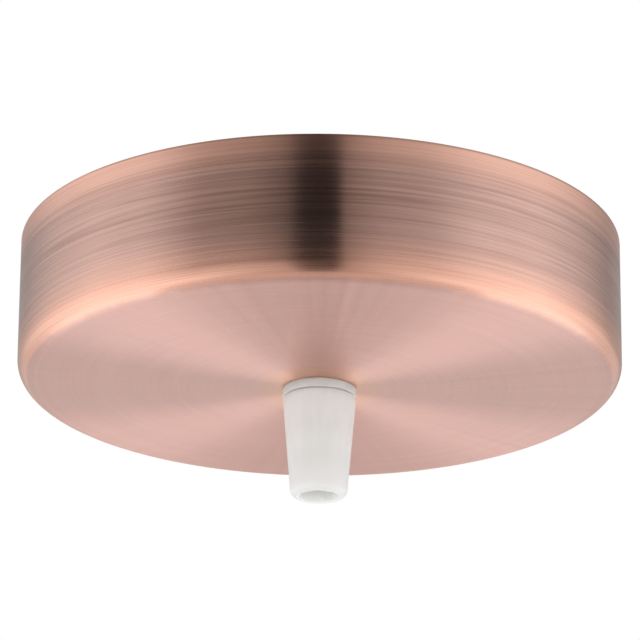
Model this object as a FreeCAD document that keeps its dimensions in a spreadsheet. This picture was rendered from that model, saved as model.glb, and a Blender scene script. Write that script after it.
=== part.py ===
import FreeCAD, Part
import math
import os
import re

import Sketcher

# Electrical ceiling rose: a pressed metal canopy held to a strap bracket by two grub screws, a
# three-pole terminal block and an earth terminal on the bracket, and a plastic cord grip that is
# nutted into the middle of the canopy. Millimetres. +Z is up. The origin is the centre of the
# ceiling plane, which the canopy's rim and the bracket's top meet.

SIZES = {
    # Canopy, pressed from one sheet
    "canopy_radius": 50.0,
    "canopy_height": 24.0,
    "canopy_sheet": 1.0,
    "canopy_corner": 3.0,
    "canopy_crown": 0.7,
    "canopy_seat_radius": 9.0,
    "canopy_rim_round": 0.3,
    # Strap bracket with bent ends
    "bracket_width": 18.0,
    "bracket_thickness": 1.5,
    "bracket_bend": 1.5,
    "bracket_drop": 14.0,
    "bracket_clearance": 0.35,
    "tab_corner": 4.0,
    "cable_hole_radius": 6.0,
    "slot_spacing": 63.0,
    "slot_length": 14.0,
    "slot_radius": 2.25,
    # Grub screws through the canopy wall into the bracket ends
    "side_screw_radius": 2.0,
    "side_screw_length": 8.0,
    "side_screw_drop": 8.5,
    "side_screw_recess": 0.1,
    "side_hole_clearance": 0.25,
    "side_collar_wall": 1.2,
    "side_collar_length": 2.0,
    "side_hex": 2.0,
    "side_hex_depth": 2.0,
    # Clearances and chamfers that every screw shares
    "thread_clearance": 0.05,
    "screw_chamfer": 0.3,
    "screw_tip_gap": 0.2,
    # Three-pole terminal block
    "block_offset": 15.25,
    "block_length": 15.5,
    "block_height": 8.2,
    "block_corner": 1.5,
    "block_edge": 0.5,
    "pole_pitch": 9.5,
    "pole_slit": 1.4,
    "pole_slit_depth": 4.0,
    "tower_radius": 3.3,
    "tower_height": 12.0,
    "tower_bore": 1.9,
    "tower_edge": 0.4,
    # Brass tubes in the block, one a pole
    "tube_radius": 2.6,
    "tube_length": 13.5,
    "tube_depth": 4.6,
    "tube_clearance": 0.05,
    "wire_bore_radius": 1.6,
    "wire_bore_shift": 0.5,
    # Clamping screws, two a tube
    "terminal_screw_radius": 1.5,
    "terminal_screw_length": 5.2,
    "terminal_screw_spacing": 8.6,
    "terminal_slot": 0.6,
    "terminal_slot_depth": 0.9,
    # Screws that hold the block to the bracket
    "block_screw_radius": 1.5,
    "block_screw_clearance": 0.2,
    "block_head_radius": 2.75,
    "block_head_height": 1.8,
    "block_head_round": 0.5,
    "block_slot": 0.8,
    "block_slot_depth": 0.9,
    # Earth terminal
    "earth_offset": 14.0,
    "earth_screw_radius": 2.0,
    "earth_collar_wall": 1.3,
    "earth_collar_length": 1.5,
    "earth_head_radius": 4.0,
    "earth_head_height": 2.4,
    "earth_head_round": 1.0,
    "earth_slot": 1.0,
    "earth_slot_depth": 1.2,
    "clamp_size": 9.0,
    "clamp_sheet": 1.0,
    "clamp_corner": 1.2,
    "clamp_lip": 0.8,
    "clamp_lip_height": 1.0,
    "clamp_clearance": 0.2,
    # Cord grip, body with stud, flange, neck and collet fingers
    "stud_radius": 5.0,
    "stud_length": 9.0,
    "stud_chamfer": 0.5,
    "stud_clearance": 0.2,
    "flange_radius": 6.08,
    "flange_thickness": 1.6,
    "flange_round": 0.3,
    "cord_bore": 3.1,
    "neck_radius": 4.6,
    "neck_length": 6.6,
    "finger_radius": 3.9,
    "finger_length": 6.9,
    "finger_tip_radius": 3.4,
    "finger_tip_length": 1.9,
    "finger_slit": 1.0,
    # Cord grip, tapered cap that squeezes the fingers
    "cap_radius": 6.05,
    "cap_end_radius": 4.62,
    "cap_length": 17.0,
    "cap_gap": 0.15,
    "cap_end_round": 1.0,
    "cap_run_out": 0.4,
    "cap_finger_clearance": 0.25,
    "cap_cone_length": 3.2,
    "cord_exit": 3.2,
    # Nut and toothed washer on the stud
    "nut_flats": 14.0,
    "nut_thickness": 3.0,
    "nut_face_share": 0.96,
    "washer_radius": 7.5,
    "washer_thickness": 0.8,
    "washer_teeth": 12,
    "washer_notch": 1.4,
    "washer_tooth": 1.5,
}

doc = FreeCAD.newDocument("CeilingRose")
sheet = doc.addObject("Spreadsheet::Sheet", "Sizes")
for row, (alias, number) in enumerate(SIZES.items(), start=1):
    sheet.set(f"A{row}", alias)
    sheet.set(f"B{row}", str(number))
    sheet.setAlias(f"B{row}", alias)
doc.recompute()

# Places that several pieces share, worked out from the sizes
CANOPY_INSIDE = "(canopy_radius - canopy_sheet)"
CANOPY_FACE = "(canopy_height + canopy_crown)"
DOME_REACH = "(canopy_radius - canopy_corner - canopy_seat_radius)"
DOME_RADIUS = f"(({DOME_REACH}^2 + canopy_crown^2) / (2 * canopy_crown))"
GRIP_HOLE = "(stud_radius + stud_clearance)"
BRACKET_END = f"(sqrt({CANOPY_INSIDE}^2 - (bracket_width / 2)^2) - bracket_clearance)"
BEND_OUTSIDE = "(bracket_bend + bracket_thickness)"
SIDE_THREAD = "(side_screw_radius + thread_clearance)"
EARTH_THREAD = "(earth_screw_radius + thread_clearance)"
BLOCK_THREAD = "(block_screw_radius + thread_clearance)"
BLOCK_SEAT = "bracket_thickness"
BLOCK_WIDTH = "(3 * pole_pitch)"
TUBE_AXIS = f"({BLOCK_SEAT} + tube_depth)"
SCREW_PLACE = "(terminal_screw_spacing / 2)"
WIRE_WALL = f"({TUBE_AXIS} - wire_bore_shift + wire_bore_radius)"
EARTH_CLAMP_TOP = "(bracket_thickness + earth_collar_length)"
FINGERS_END = "(neck_length + finger_length)"

UP = FreeCAD.Rotation()
DOWN = FreeCAD.Rotation(FreeCAD.Vector(1, 0, 0), 180)
TO_LEFT = FreeCAD.Rotation(FreeCAD.Vector(0, 1, 0), -90)
TO_RIGHT = FreeCAD.Rotation(FreeCAD.Vector(0, 1, 0), 90)


def on_sheet(text):
    """The same expression, with each size's name led by the sheet's name."""
    return re.sub(r"[a-z_]+", lambda word: sheet.Name + "." + word[0] if word[0] in SIZES else word[0], text)


def value(text):
    """The number that an expression on the sizes has."""
    return float(sheet.evalExpression(on_sheet(text)))


def bind(thing, property_path, text):
    """Tie a property of an object to an expression on the sizes."""
    thing.setExpression(property_path, on_sheet(text))


def new_body(label, x="0", y="0", z="0", turn=UP):
    """A sub-part with its own label, at its seat in the rose's frame."""
    body = doc.addObject("PartDesign::Body", label)
    body.Label = label
    body.Placement = FreeCAD.Placement(FreeCAD.Vector(value(x), value(y), value(z)), turn)
    for axis, text in (("x", x), ("y", y), ("z", z)):
        bind(body, f"Placement.Base.{axis}", text)
    return body


def origin_feature(body, role):
    """One of the body's own origin planes or axes."""
    return next(feature for feature in body.Origin.OriginFeatures if feature.Role == role)


def new_sketch(body, name, plane="XY_Plane", offset="0"):
    """A sketch on one of the body's origin planes, moved along the plane's normal by the offset."""
    sketch = body.newObject("Sketcher::SketchObject", f"{body.Label}_{name}")
    sketch.AttachmentSupport = (origin_feature(body, plane), [""])
    sketch.MapMode = "FlatFace"
    bind(sketch, "AttachmentOffset.Base.z", offset)
    return sketch


def constrain(sketch, name, constraint, text):
    """Add a constraint whose datum follows an expression on the sizes."""
    index = sketch.addConstraint(constraint)
    sketch.renameConstraint(index, f"{name}_{index}")
    bind(sketch, f"Constraints.{name}_{index}", text)


def place(sketch, edge, end, x, y):
    """Hold one point of an edge at a place measured from the sketch's origin."""
    constrain(sketch, "across", Sketcher.Constraint("DistanceX", -1, 1, edge, end, value(x)), x)
    constrain(sketch, "along", Sketcher.Constraint("DistanceY", -1, 1, edge, end, value(y)), y)


def arc_between(start, end, radius, side):
    """The short arc from start to end, with its centre on the left or right of that way."""
    chord = end - start
    across = FreeCAD.Vector(-chord.y, chord.x, 0).normalize()
    rise = math.sqrt(max(radius**2 - (chord.Length / 2) ** 2, 0))
    centre = start + chord / 2 + across * (rise if side == "left" else -rise)
    first, last = (start, end) if side == "left" else (end, start)
    angles = [math.atan2(point.y - centre.y, point.x - centre.x) for point in (first, last)]
    return Part.ArcOfCircle(Part.Circle(centre, FreeCAD.Vector(0, 0, 1), radius), *angles)


def outline(sketch, corners):
    """A closed outline. A corner is (x, y), reached by a line, or (x, y, radius, side), by an arc."""
    points = [FreeCAD.Vector(value(corner[0]), value(corner[1]), 0) for corner in corners]
    edges = []
    for number, corner in enumerate(corners):
        start, end = points[number - 1], points[number]
        if len(corner) == 2:
            edges.append((sketch.addGeometry(Part.LineSegment(start, end)), 1, 2))
            continue
        radius, side = corner[2:]
        edge = sketch.addGeometry(arc_between(start, end, value(radius), side))
        constrain(sketch, "round", Sketcher.Constraint("Radius", edge, value(radius)), radius)
        edges.append((edge, 1, 2) if side == "left" else (edge, 2, 1))
    for number, corner in enumerate(corners):
        edge, _, last = edges[number]
        following, first, _ = edges[(number + 1) % len(edges)]
        sketch.addConstraint(Sketcher.Constraint("Coincident", edge, last, following, first))
        place(sketch, edge, last, corner[0], corner[1])


def box_outline(sketch, left, right, low, high):
    """A rectangle between two pairs of sides."""
    outline(sketch, [(right, low), (right, high), (left, high), (left, low)])


def hexagon(sketch, flats):
    """A regular hexagon about the sketch's origin, by its width across flats."""
    side, near, far = f"{flats} / 2", f"{flats} / (2 * sqrt(3))", f"{flats} / sqrt(3)"
    right = [(side, f"-{near}"), (side, near), ("0", far)]
    left = [(f"-{side}", near), (f"-{side}", f"-{near}"), ("0", f"-{far}")]
    outline(sketch, right + left)


def circle(sketch, x, y, radius):
    """A circle by its centre and radius."""
    middle = FreeCAD.Vector(value(x), value(y), 0)
    edge = sketch.addGeometry(Part.Circle(middle, FreeCAD.Vector(0, 0, 1), value(radius)))
    place(sketch, edge, 3, x, y)
    constrain(sketch, "round", Sketcher.Constraint("Radius", edge, value(radius)), radius)


def slot(sketch, x, y, length, radius):
    """A round-ended slot along the sketch's x axis, by its middle, whole length and end radius."""
    middle, reach, round_ = value(x), value(length) / 2 - value(radius), value(radius)
    height, up = value(y), FreeCAD.Vector(0, 0, 1)
    quarter = math.pi / 2
    ends = [
        (FreeCAD.Vector(middle + reach, height, 0), -quarter, quarter),
        (FreeCAD.Vector(middle - reach, height, 0), quarter, 3 * quarter),
    ]
    right, left = [
        sketch.addGeometry(Part.ArcOfCircle(Part.Circle(centre, up, round_), start, stop))
        for centre, start, stop in ends
    ]
    top, bottom = [
        sketch.addGeometry(
            Part.LineSegment(
                FreeCAD.Vector(middle + way * reach, height + way * round_, 0),
                FreeCAD.Vector(middle - way * reach, height + way * round_, 0),
            )
        )
        for way in (1, -1)
    ]
    around = (right, top, left, bottom)
    for edge, following in zip(around, (top, left, bottom, right)):
        sketch.addConstraint(Sketcher.Constraint("Tangent", edge, 2, following, 1))
    sketch.addConstraint(Sketcher.Constraint("Equal", right, left))
    place(sketch, right, 3, f"{x} + {length} / 2 - {radius}", y)
    place(sketch, left, 3, f"{x} - {length} / 2 + {radius}", y)
    constrain(sketch, "round", Sketcher.Constraint("Radius", right, round_), radius)


def pad(body, name, sketch, length, symmetric=False, downwards=False):
    """Raise a solid from a sketch."""
    feature = body.newObject("PartDesign::Pad", f"{body.Label}_{name}")
    feature.Profile = sketch
    feature.SideType = "Symmetric" if symmetric else "One side"
    feature.Reversed = downwards
    bind(feature, "Length", length)
    sketch.Visibility = False
    doc.recompute()
    return feature


def check_cut(body, feature, volume_before):
    """A cut that points away from its solid takes nothing off and shows no error."""
    doc.recompute()
    if body.Shape.Volume > volume_before - 1e-3:
        raise ValueError(f"{feature.Label} cuts nothing")


def pocket(body, name, sketch, depth=None, symmetric=False, upwards=False):
    """Cut a sketch out of the solid, right through where no depth is given."""
    volume_before = body.Shape.Volume
    feature = body.newObject("PartDesign::Pocket", f"{body.Label}_{name}")
    feature.Profile = sketch
    feature.SideType = "Symmetric" if symmetric else "One side"
    feature.Reversed = upwards
    if depth is None:
        feature.Type = "ThroughAll"
    else:
        bind(feature, "Length", depth)
    check_cut(body, feature, volume_before)
    return feature


def revolve(body, name, sketch):
    """Turn a profile about the body's upright axis."""
    feature = body.newObject("PartDesign::Revolution", f"{body.Label}_{name}")
    feature.Profile = sketch
    feature.ReferenceAxis = (sketch, ["V_Axis"])
    feature.Angle = 360
    doc.recompute()
    return feature


def groove(body, name, sketch):
    """Turn a profile about the body's upright axis and take it off the solid."""
    volume_before = body.Shape.Volume
    feature = body.newObject("PartDesign::Groove", f"{body.Label}_{name}")
    feature.Profile = sketch
    feature.ReferenceAxis = (sketch, ["V_Axis"])
    feature.Angle = 360
    check_cut(body, feature, volume_before)
    return feature


def polar_pattern(body, name, feature, count, angle):
    """Repeat a feature about the body's upright axis."""
    pattern = body.newObject("PartDesign::PolarPattern", f"{body.Label}_{name}")
    pattern.Originals = [feature]
    pattern.Axis = (origin_feature(body, "Z_Axis"), [""])
    pattern.Angle = angle
    bind(pattern, "Occurrences", count)
    body.Tip = pattern
    doc.recompute()
    return pattern


def mirror(body, name, feature, plane):
    """Repeat a feature on the other side of one of the body's origin planes."""
    mirrored = body.newObject("PartDesign::Mirrored", f"{body.Label}_{name}")
    mirrored.Originals = [feature]
    mirrored.MirrorPlane = (origin_feature(body, plane), [""])
    body.Tip = mirrored
    doc.recompute()
    return mirrored


def dress(body, name, kind, radius, wanted):
    """Fillet or chamfer the edges of the body so far that a test picks out."""
    base = body.Tip
    names = [f"Edge{number}" for number, edge in enumerate(base.Shape.Edges, start=1) if wanted(edge)]
    if not names:
        raise ValueError(f"{body.Label} has no edge for {name}")
    feature = body.newObject(f"PartDesign::{kind}", f"{body.Label}_{name}")
    feature.Base = (base, names)
    bind(feature, "Radius" if kind == "Fillet" else "Size", radius)
    doc.recompute()
    return feature


def is_ring(edge, radius, height):
    """Whether an edge is a whole circle of this radius at this height."""
    if not isinstance(edge.Curve, Part.Circle) or not edge.isClosed():
        return False
    same_radius = abs(edge.Curve.Radius - value(radius)) < 1e-4
    return same_radius and abs(edge.Curve.Center.z - value(height)) < 1e-4


def is_straight_along(edge, direction):
    """Whether an edge is straight and lies along a direction."""
    if not isinstance(edge.Curve, Part.Line):
        return False
    return abs(abs(edge.tangentAt(edge.FirstParameter).dot(direction)) - 1) < 1e-6


def canopy():
    """Pressed cup: upright wall, round corner, crowned face with a flat seat for the cord grip."""
    body = new_body("canopy")
    profile = new_sketch(body, "profile", "XZ_Plane")
    corner_middle = "canopy_radius - canopy_corner"
    outline(
        profile,
        [
            ("canopy_radius", "0"),
            ("canopy_radius", "-canopy_height + canopy_corner"),
            (corner_middle, "-canopy_height", "canopy_corner", "right"),
            ("canopy_seat_radius", f"-{CANOPY_FACE}", DOME_RADIUS, "right"),
            (GRIP_HOLE, f"-{CANOPY_FACE}"),
            (GRIP_HOLE, f"-{CANOPY_FACE} + canopy_sheet"),
            ("canopy_seat_radius", f"-{CANOPY_FACE} + canopy_sheet"),
            (corner_middle, "-canopy_height + canopy_sheet", DOME_RADIUS, "left"),
            (CANOPY_INSIDE, "-canopy_height + canopy_corner", "canopy_corner - canopy_sheet", "left"),
            (CANOPY_INSIDE, "0"),
        ],
    )
    revolve(body, "cup", profile)
    dress(body, "rim", "Fillet", "canopy_rim_round", lambda edge: is_ring(edge, "canopy_radius", "0"))
    holes = new_sketch(body, "side_holes", "YZ_Plane")
    circle(holes, "0", "-side_screw_drop", "side_screw_radius + side_hole_clearance")
    pocket(body, "side_hole", holes, symmetric=True)
    return body


def mounting_bracket():
    """Strap with both ends bent down, drawn collars for its tapped holes, and two screw slots."""
    body = new_body("mounting_bracket")
    strap = new_sketch(body, "strap_profile", "XZ_Plane")
    flat_end = f"({BRACKET_END} - {BEND_OUTSIDE})"
    tab_inside = f"({BRACKET_END} - bracket_thickness)"
    outline(
        strap,
        [
            (f"-{flat_end}", "0", BEND_OUTSIDE, "right"),
            (flat_end, "0"),
            (BRACKET_END, f"-{BEND_OUTSIDE}", BEND_OUTSIDE, "right"),
            (BRACKET_END, "-bracket_drop"),
            (tab_inside, "-bracket_drop"),
            (tab_inside, f"-{BEND_OUTSIDE}"),
            (flat_end, "-bracket_thickness", "bracket_bend", "left"),
            (f"-{flat_end}", "-bracket_thickness"),
            (f"-{tab_inside}", f"-{BEND_OUTSIDE}", "bracket_bend", "left"),
            (f"-{tab_inside}", "-bracket_drop"),
            (f"-{BRACKET_END}", "-bracket_drop"),
            (f"-{BRACKET_END}", f"-{BEND_OUTSIDE}"),
        ],
    )
    pad(body, "strap", strap, "bracket_width", symmetric=True)

    def tab_end(edge):
        low = abs(edge.BoundBox.ZMax + value("bracket_drop")) < 1e-4
        return low and is_straight_along(edge, FreeCAD.Vector(1, 0, 0))

    dress(body, "tab_corners", "Fillet", "tab_corner", tab_end)

    side_collar = new_sketch(body, "side_collar_ring", "YZ_Plane", tab_inside)
    circle(side_collar, "0", "-side_screw_drop", f"{SIDE_THREAD} + side_collar_wall")
    collar = pad(body, "side_collar", side_collar, "side_collar_length", downwards=True)
    mirror(body, "side_collars", collar, "YZ_Plane")
    side_threads = new_sketch(body, "side_thread_holes", "YZ_Plane")
    circle(side_threads, "0", "-side_screw_drop", SIDE_THREAD)
    pocket(body, "side_threads", side_threads, symmetric=True)

    earth_collar = new_sketch(body, "earth_collar_ring", "XY_Plane", "-bracket_thickness")
    circle(earth_collar, "earth_offset", "0", f"{EARTH_THREAD} + earth_collar_wall")
    pad(body, "earth_collar", earth_collar, "earth_collar_length", downwards=True)

    holes = new_sketch(body, "strap_holes")
    circle(holes, "0", "0", "cable_hole_radius")
    circle(holes, "earth_offset", "0", EARTH_THREAD)
    for way in ("", "-"):
        circle(holes, "-block_offset", f"{way}pole_pitch / 2", BLOCK_THREAD)
        slot(holes, f"{way}slot_spacing / 2", "0", "slot_length", "slot_radius")
    pocket(body, "holes", holes, symmetric=True)
    return body


def grub_screw(body, radius, length):
    """Headless screw, driven end at its own origin and body below, with both ends chamfered."""
    profile = new_sketch(body, "profile", "XZ_Plane")
    narrow = f"{radius} - screw_chamfer"
    outline(
        profile,
        [
            ("0", "0"),
            (narrow, "0"),
            (radius, "-screw_chamfer"),
            (radius, f"-{length} + screw_chamfer"),
            (narrow, f"-{length}"),
            ("0", f"-{length}"),
        ],
    )
    revolve(body, "shank", profile)


def side_screw(label, way, turn):
    """Grub screw with a hexagon socket, flush with the canopy's wall."""
    body = new_body(label, f"{way}(canopy_radius - side_screw_recess)", "0", "-side_screw_drop", turn)
    grub_screw(body, "side_screw_radius", "side_screw_length")
    socket = new_sketch(body, "socket_outline")
    hexagon(socket, "side_hex")
    pocket(body, "socket", socket, "side_hex_depth")
    return body


def terminal_block_body():
    """Moulded base with three poles, slit between them, and a tower over each clamping screw."""
    body = new_body("terminal_block_body", "-block_offset", "0", f"-{BLOCK_SEAT}")
    poles = ("-pole_pitch", "0", "pole_pitch")
    tower_places = [(f"{way}{SCREW_PLACE}", pole) for pole in poles for way in ("", "-")]
    gap_places = ("-pole_pitch / 2", "pole_pitch / 2")

    base = new_sketch(body, "base_outline")
    box_outline(base, "-block_length / 2", "block_length / 2", f"-{BLOCK_WIDTH} / 2", f"{BLOCK_WIDTH} / 2")
    pad(body, "base", base, "block_height", downwards=True)
    upright = FreeCAD.Vector(0, 0, 1)
    dress(body, "base_corners", "Fillet", "block_corner", lambda edge: is_straight_along(edge, upright))

    def lower_edge(edge):
        return abs(edge.BoundBox.ZMax + value("block_height")) < 1e-4

    dress(body, "base_edge", "Chamfer", "block_edge", lower_edge)

    towers = new_sketch(body, "tower_outlines")
    for x, y in tower_places:
        circle(towers, x, y, "tower_radius")
    pad(body, "towers", towers, "tower_height", downwards=True)

    def tower_rim(edge):
        return is_ring(edge, "tower_radius", "-tower_height")

    dress(body, "tower_edges", "Chamfer", "tower_edge", tower_rim)

    slits = new_sketch(body, "slit_outlines")
    for y in gap_places:
        low, high = f"{y} - pole_slit / 2", f"{y} + pole_slit / 2"
        box_outline(slits, "block_length / 2 - pole_slit_depth", "block_length / 2 + pole_slit", low, high)
        box_outline(slits, "-block_length / 2 - pole_slit", "-block_length / 2 + pole_slit_depth", low, high)
    pocket(body, "slits", slits)

    tube_holes = new_sketch(body, "tube_hole_outlines", "YZ_Plane")
    for y in poles:
        circle(tube_holes, y, "-tube_depth", "tube_radius + tube_clearance")
    pocket(body, "tube_holes", tube_holes, symmetric=True)

    screw_ways = new_sketch(body, "screw_way_outlines", "XY_Plane", "-tower_height")
    for x, y in tower_places:
        circle(screw_ways, x, y, "tower_bore")
    pocket(body, "screw_ways", screw_ways, "tower_height - tube_depth", upwards=True)

    fixing_holes = new_sketch(body, "fixing_hole_outlines")
    for y in gap_places:
        circle(fixing_holes, "0", y, "block_screw_radius + block_screw_clearance")
    pocket(body, "fixing_holes", fixing_holes)
    return body


def terminal_tube(label, pole):
    """Brass tube with its wire bore set off centre, so that the screws have more thread."""
    body = new_body(label, "-block_offset", f"{pole} * pole_pitch", f"-{TUBE_AXIS}")
    ring = new_sketch(body, "ring", "YZ_Plane")
    circle(ring, "0", "0", "tube_radius")
    circle(ring, "0", "wire_bore_shift", "wire_bore_radius")
    pad(body, "tube", ring, "tube_length", symmetric=True)
    threads = new_sketch(body, "thread_outlines")
    for way in ("", "-"):
        circle(threads, f"{way}{SCREW_PLACE}", "0", "terminal_screw_radius + thread_clearance")
    pocket(body, "threads", threads)
    return body


def terminal_screw(label, pole, way):
    """Slotted clamping screw, drawn back until its tip is level with the wire bore's wall."""
    body = new_body(
        label,
        f"-block_offset {way} {SCREW_PLACE}",
        f"{pole} * pole_pitch",
        f"-({WIRE_WALL} + terminal_screw_length)",
        DOWN,
    )
    grub_screw(body, "terminal_screw_radius", "terminal_screw_length")
    cross_slot(body, "terminal_screw_radius", "0", "terminal_slot", "terminal_slot_depth", upwards=False)
    return body


def cross_slot(body, radius, face, width, depth, upwards):
    """Driver slot across the end of a screw."""
    groove_outline = new_sketch(body, "slot_outline", "XY_Plane", face)
    reach = f"({radius} + {width})"
    box_outline(groove_outline, f"-{reach}", reach, f"-{width} / 2", f"{width} / 2")
    pocket(body, "slot", groove_outline, depth, upwards=upwards)


def headed_screw(body, kind, length):
    """Screw with its head's seat at its own origin, shank above and slotted, round-edged head below."""
    radius = f"{kind}_screw_radius"
    head_radius, head_height, head_round = f"{kind}_head_radius", f"{kind}_head_height", f"{kind}_head_round"
    profile = new_sketch(body, "profile", "XZ_Plane")
    outline(
        profile,
        [
            ("0", f"-{head_height}"),
            (f"{head_radius} - {head_round}", f"-{head_height}"),
            (head_radius, f"-{head_height} + {head_round}", head_round, "left"),
            (head_radius, "0"),
            (radius, "0"),
            (radius, f"{length} - screw_chamfer"),
            (f"{radius} - screw_chamfer", length),
            ("0", length),
        ],
    )
    revolve(body, "screw", profile)
    cross_slot(body, head_radius, f"-{head_height}", f"{kind}_slot", f"{kind}_slot_depth", upwards=True)


def block_screw(label, way):
    """Cheese-head screw through the block into the bracket, its tip kept below the ceiling."""
    seat = f"-({BLOCK_SEAT} + block_height)"
    body = new_body(label, "-block_offset", f"{way}pole_pitch / 2", seat)
    headed_screw(body, "block", f"({BLOCK_SEAT} + block_height - screw_tip_gap)")
    return body


def earth_screw():
    """Pan-head earth screw in the bracket's drawn collar."""
    body = new_body("earth_screw", "earth_offset", "0", f"-({EARTH_CLAMP_TOP} + clamp_sheet)")
    headed_screw(body, "earth", f"({EARTH_CLAMP_TOP} + clamp_sheet - screw_tip_gap)")
    return body


def earth_clamp_washer():
    """Square washer with two turned-up lips that keep the wire under the screw."""
    body = new_body("earth_clamp_washer", "earth_offset", "0", f"-{EARTH_CLAMP_TOP}")
    half = "clamp_size / 2"
    channel = new_sketch(body, "channel_profile", "YZ_Plane")
    outline(
        channel,
        [
            (f"-{half}", "-clamp_sheet"),
            (half, "-clamp_sheet"),
            (half, "clamp_lip_height"),
            (f"{half} - clamp_lip", "clamp_lip_height"),
            (f"{half} - clamp_lip", "0"),
            (f"-{half} + clamp_lip", "0"),
            (f"-{half} + clamp_lip", "clamp_lip_height"),
            (f"-{half}", "clamp_lip_height"),
        ],
    )
    pad(body, "channel", channel, "clamp_size", symmetric=True)
    upright = FreeCAD.Vector(0, 0, 1)

    def outer_corner(edge):
        outside = abs(abs(edge.BoundBox.Center.y) - value(half)) < 1e-4
        return outside and is_straight_along(edge, upright)

    dress(body, "corners", "Fillet", "clamp_corner", outer_corner)
    hole = new_sketch(body, "hole_outline")
    circle(hole, "0", "0", "earth_screw_radius + clamp_clearance")
    pocket(body, "hole", hole)
    return body


def grip_body():
    """Plastic stud, flange and neck in one piece, with a collet of fingers slit along the bore."""
    body = new_body("grip_body", "0", "0", f"-{CANOPY_FACE}")
    profile = new_sketch(body, "profile", "XZ_Plane")
    outline(
        profile,
        [
            ("cord_bore", "stud_length"),
            ("cord_bore", f"-flange_thickness - {FINGERS_END}"),
            ("finger_tip_radius", f"-flange_thickness - {FINGERS_END}"),
            ("finger_radius", f"-flange_thickness - {FINGERS_END} + finger_tip_length"),
            ("finger_radius", "-flange_thickness - neck_length"),
            ("neck_radius", "-flange_thickness - neck_length"),
            ("neck_radius", "-flange_thickness"),
            ("flange_radius", "-flange_thickness"),
            ("flange_radius", "0"),
            ("stud_radius", "0"),
            ("stud_radius", "stud_length - stud_chamfer"),
            ("stud_radius - stud_chamfer", "stud_length"),
        ],
    )
    revolve(body, "turned_form", profile)

    def flange_edge(edge):
        return is_ring(edge, "flange_radius", "-flange_thickness") or is_ring(edge, "flange_radius", "0")

    dress(body, "flange_edges", "Fillet", "flange_round", flange_edge)
    slit = new_sketch(body, "slit_outline", "XZ_Plane")
    slit_low = f"-flange_thickness - {FINGERS_END} - finger_slit"
    box_outline(slit, "-finger_slit / 2", "finger_slit / 2", slit_low, "-flange_thickness - neck_length")
    slits = pocket(body, "slit", slit, symmetric=True)
    polar_pattern(body, "slits", slits, "2", 90)
    return body


def grip_cap():
    """Tapered cap: threaded mouth over the neck, room for the fingers, and a cone that closes them."""
    top = f"-({CANOPY_FACE} + flange_thickness + cap_gap)"
    body = new_body("grip_cap", "0", "0", top)
    thread = "neck_radius + thread_clearance"
    room = "finger_radius + cap_finger_clearance"
    thread_end = "-(neck_length - cap_gap + cap_run_out)"
    cone_start = f"-({FINGERS_END} - finger_tip_length - cap_gap)"
    profile = new_sketch(body, "profile", "XZ_Plane")
    outline(
        profile,
        [
            ("cap_radius", "0"),
            (f"{thread} + screw_chamfer", "0"),
            (thread, "-screw_chamfer"),
            (thread, thread_end),
            (room, thread_end),
            (room, cone_start),
            ("cord_exit", f"{cone_start} - cap_cone_length"),
            ("cord_exit", "-cap_length"),
            ("cap_end_radius", "-cap_length"),
        ],
    )
    revolve(body, "turned_form", profile)

    def end_edge(edge):
        return is_ring(edge, "cap_end_radius", "-cap_length")

    dress(body, "end_round", "Fillet", "cap_end_round", end_edge)
    return body


def grip_nut():
    """Hexagon nut on the stud, with the corners of both faces turned off at thirty degrees."""
    body = new_body("grip_nut", "0", "0", f"-{CANOPY_FACE} + canopy_sheet + washer_thickness")
    flats = new_sketch(body, "flats")
    hexagon(flats, "nut_flats")
    pad(body, "hexagon", flats, "nut_thickness")
    thread = new_sketch(body, "thread_outline")
    circle(thread, "0", "0", "stud_radius + thread_clearance")
    pocket(body, "thread", thread, upwards=True)
    chamfer = new_sketch(body, "corner_profile", "XZ_Plane")
    inner, outer = "nut_face_share * nut_flats / 2", "nut_flats / sqrt(3) + screw_chamfer"
    rise = f"(({outer} - {inner}) / sqrt(3))"
    outline(chamfer, [(inner, "nut_thickness"), (outer, f"nut_thickness - {rise}"), (outer, "nut_thickness")])
    outline(chamfer, [(inner, "0"), (outer, "0"), (outer, rise)])
    groove(body, "corners", chamfer)
    return body


def lock_washer():
    """Spring washer with teeth around its outside."""
    body = new_body("lock_washer", "0", "0", f"-{CANOPY_FACE} + canopy_sheet")
    ring = new_sketch(body, "ring")
    circle(ring, "0", "0", "washer_radius")
    circle(ring, "0", "0", GRIP_HOLE)
    pad(body, "disc", ring, "washer_thickness")
    notch = new_sketch(body, "notch_outline")
    low, high = "-washer_notch / 2", "washer_notch / 2"
    box_outline(notch, "washer_radius - washer_tooth", "washer_radius + washer_tooth", low, high)
    notches = pocket(body, "notch", notch, upwards=True)
    polar_pattern(body, "teeth", notches, "washer_teeth", 360)
    return body


sub_parts = [canopy(), mounting_bracket(), grip_body(), grip_cap(), grip_nut(), lock_washer()]
sub_parts += [side_screw("side_screw_left", "-", TO_LEFT), side_screw("side_screw_right", "", TO_RIGHT)]
sub_parts += [block_screw("block_screw_front", "-"), block_screw("block_screw_back", "")]
sub_parts += [terminal_block_body(), earth_screw(), earth_clamp_washer()]
for wire, pole in (("live", "-1"), ("neutral", "0"), ("earth", "1")):
    sub_parts.append(terminal_tube(f"terminal_tube_{wire}", pole))
    sub_parts.append(terminal_screw(f"terminal_screw_{wire}_left", pole, "-"))
    sub_parts.append(terminal_screw(f"terminal_screw_{wire}_right", pole, "+"))

doc.recompute()
for thing in doc.Objects:
    if {"Invalid", "Error"} & set(thing.State):
        raise ValueError(f"{thing.Label} did not build: {thing.State}")
for body in sub_parts:
    if body.Shape.isNull() or not body.Shape.isValid():
        raise ValueError(f"{body.Label} has no valid shape")

os.makedirs("parts", exist_ok=True)
for body in sub_parts:
    body.Shape.exportStep(f"parts/{body.Label}.step")
    print(f"{body.Label}: {len(body.Shape.Solids)} solid, {body.Shape.Volume:.2f} cubic mm")
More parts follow.
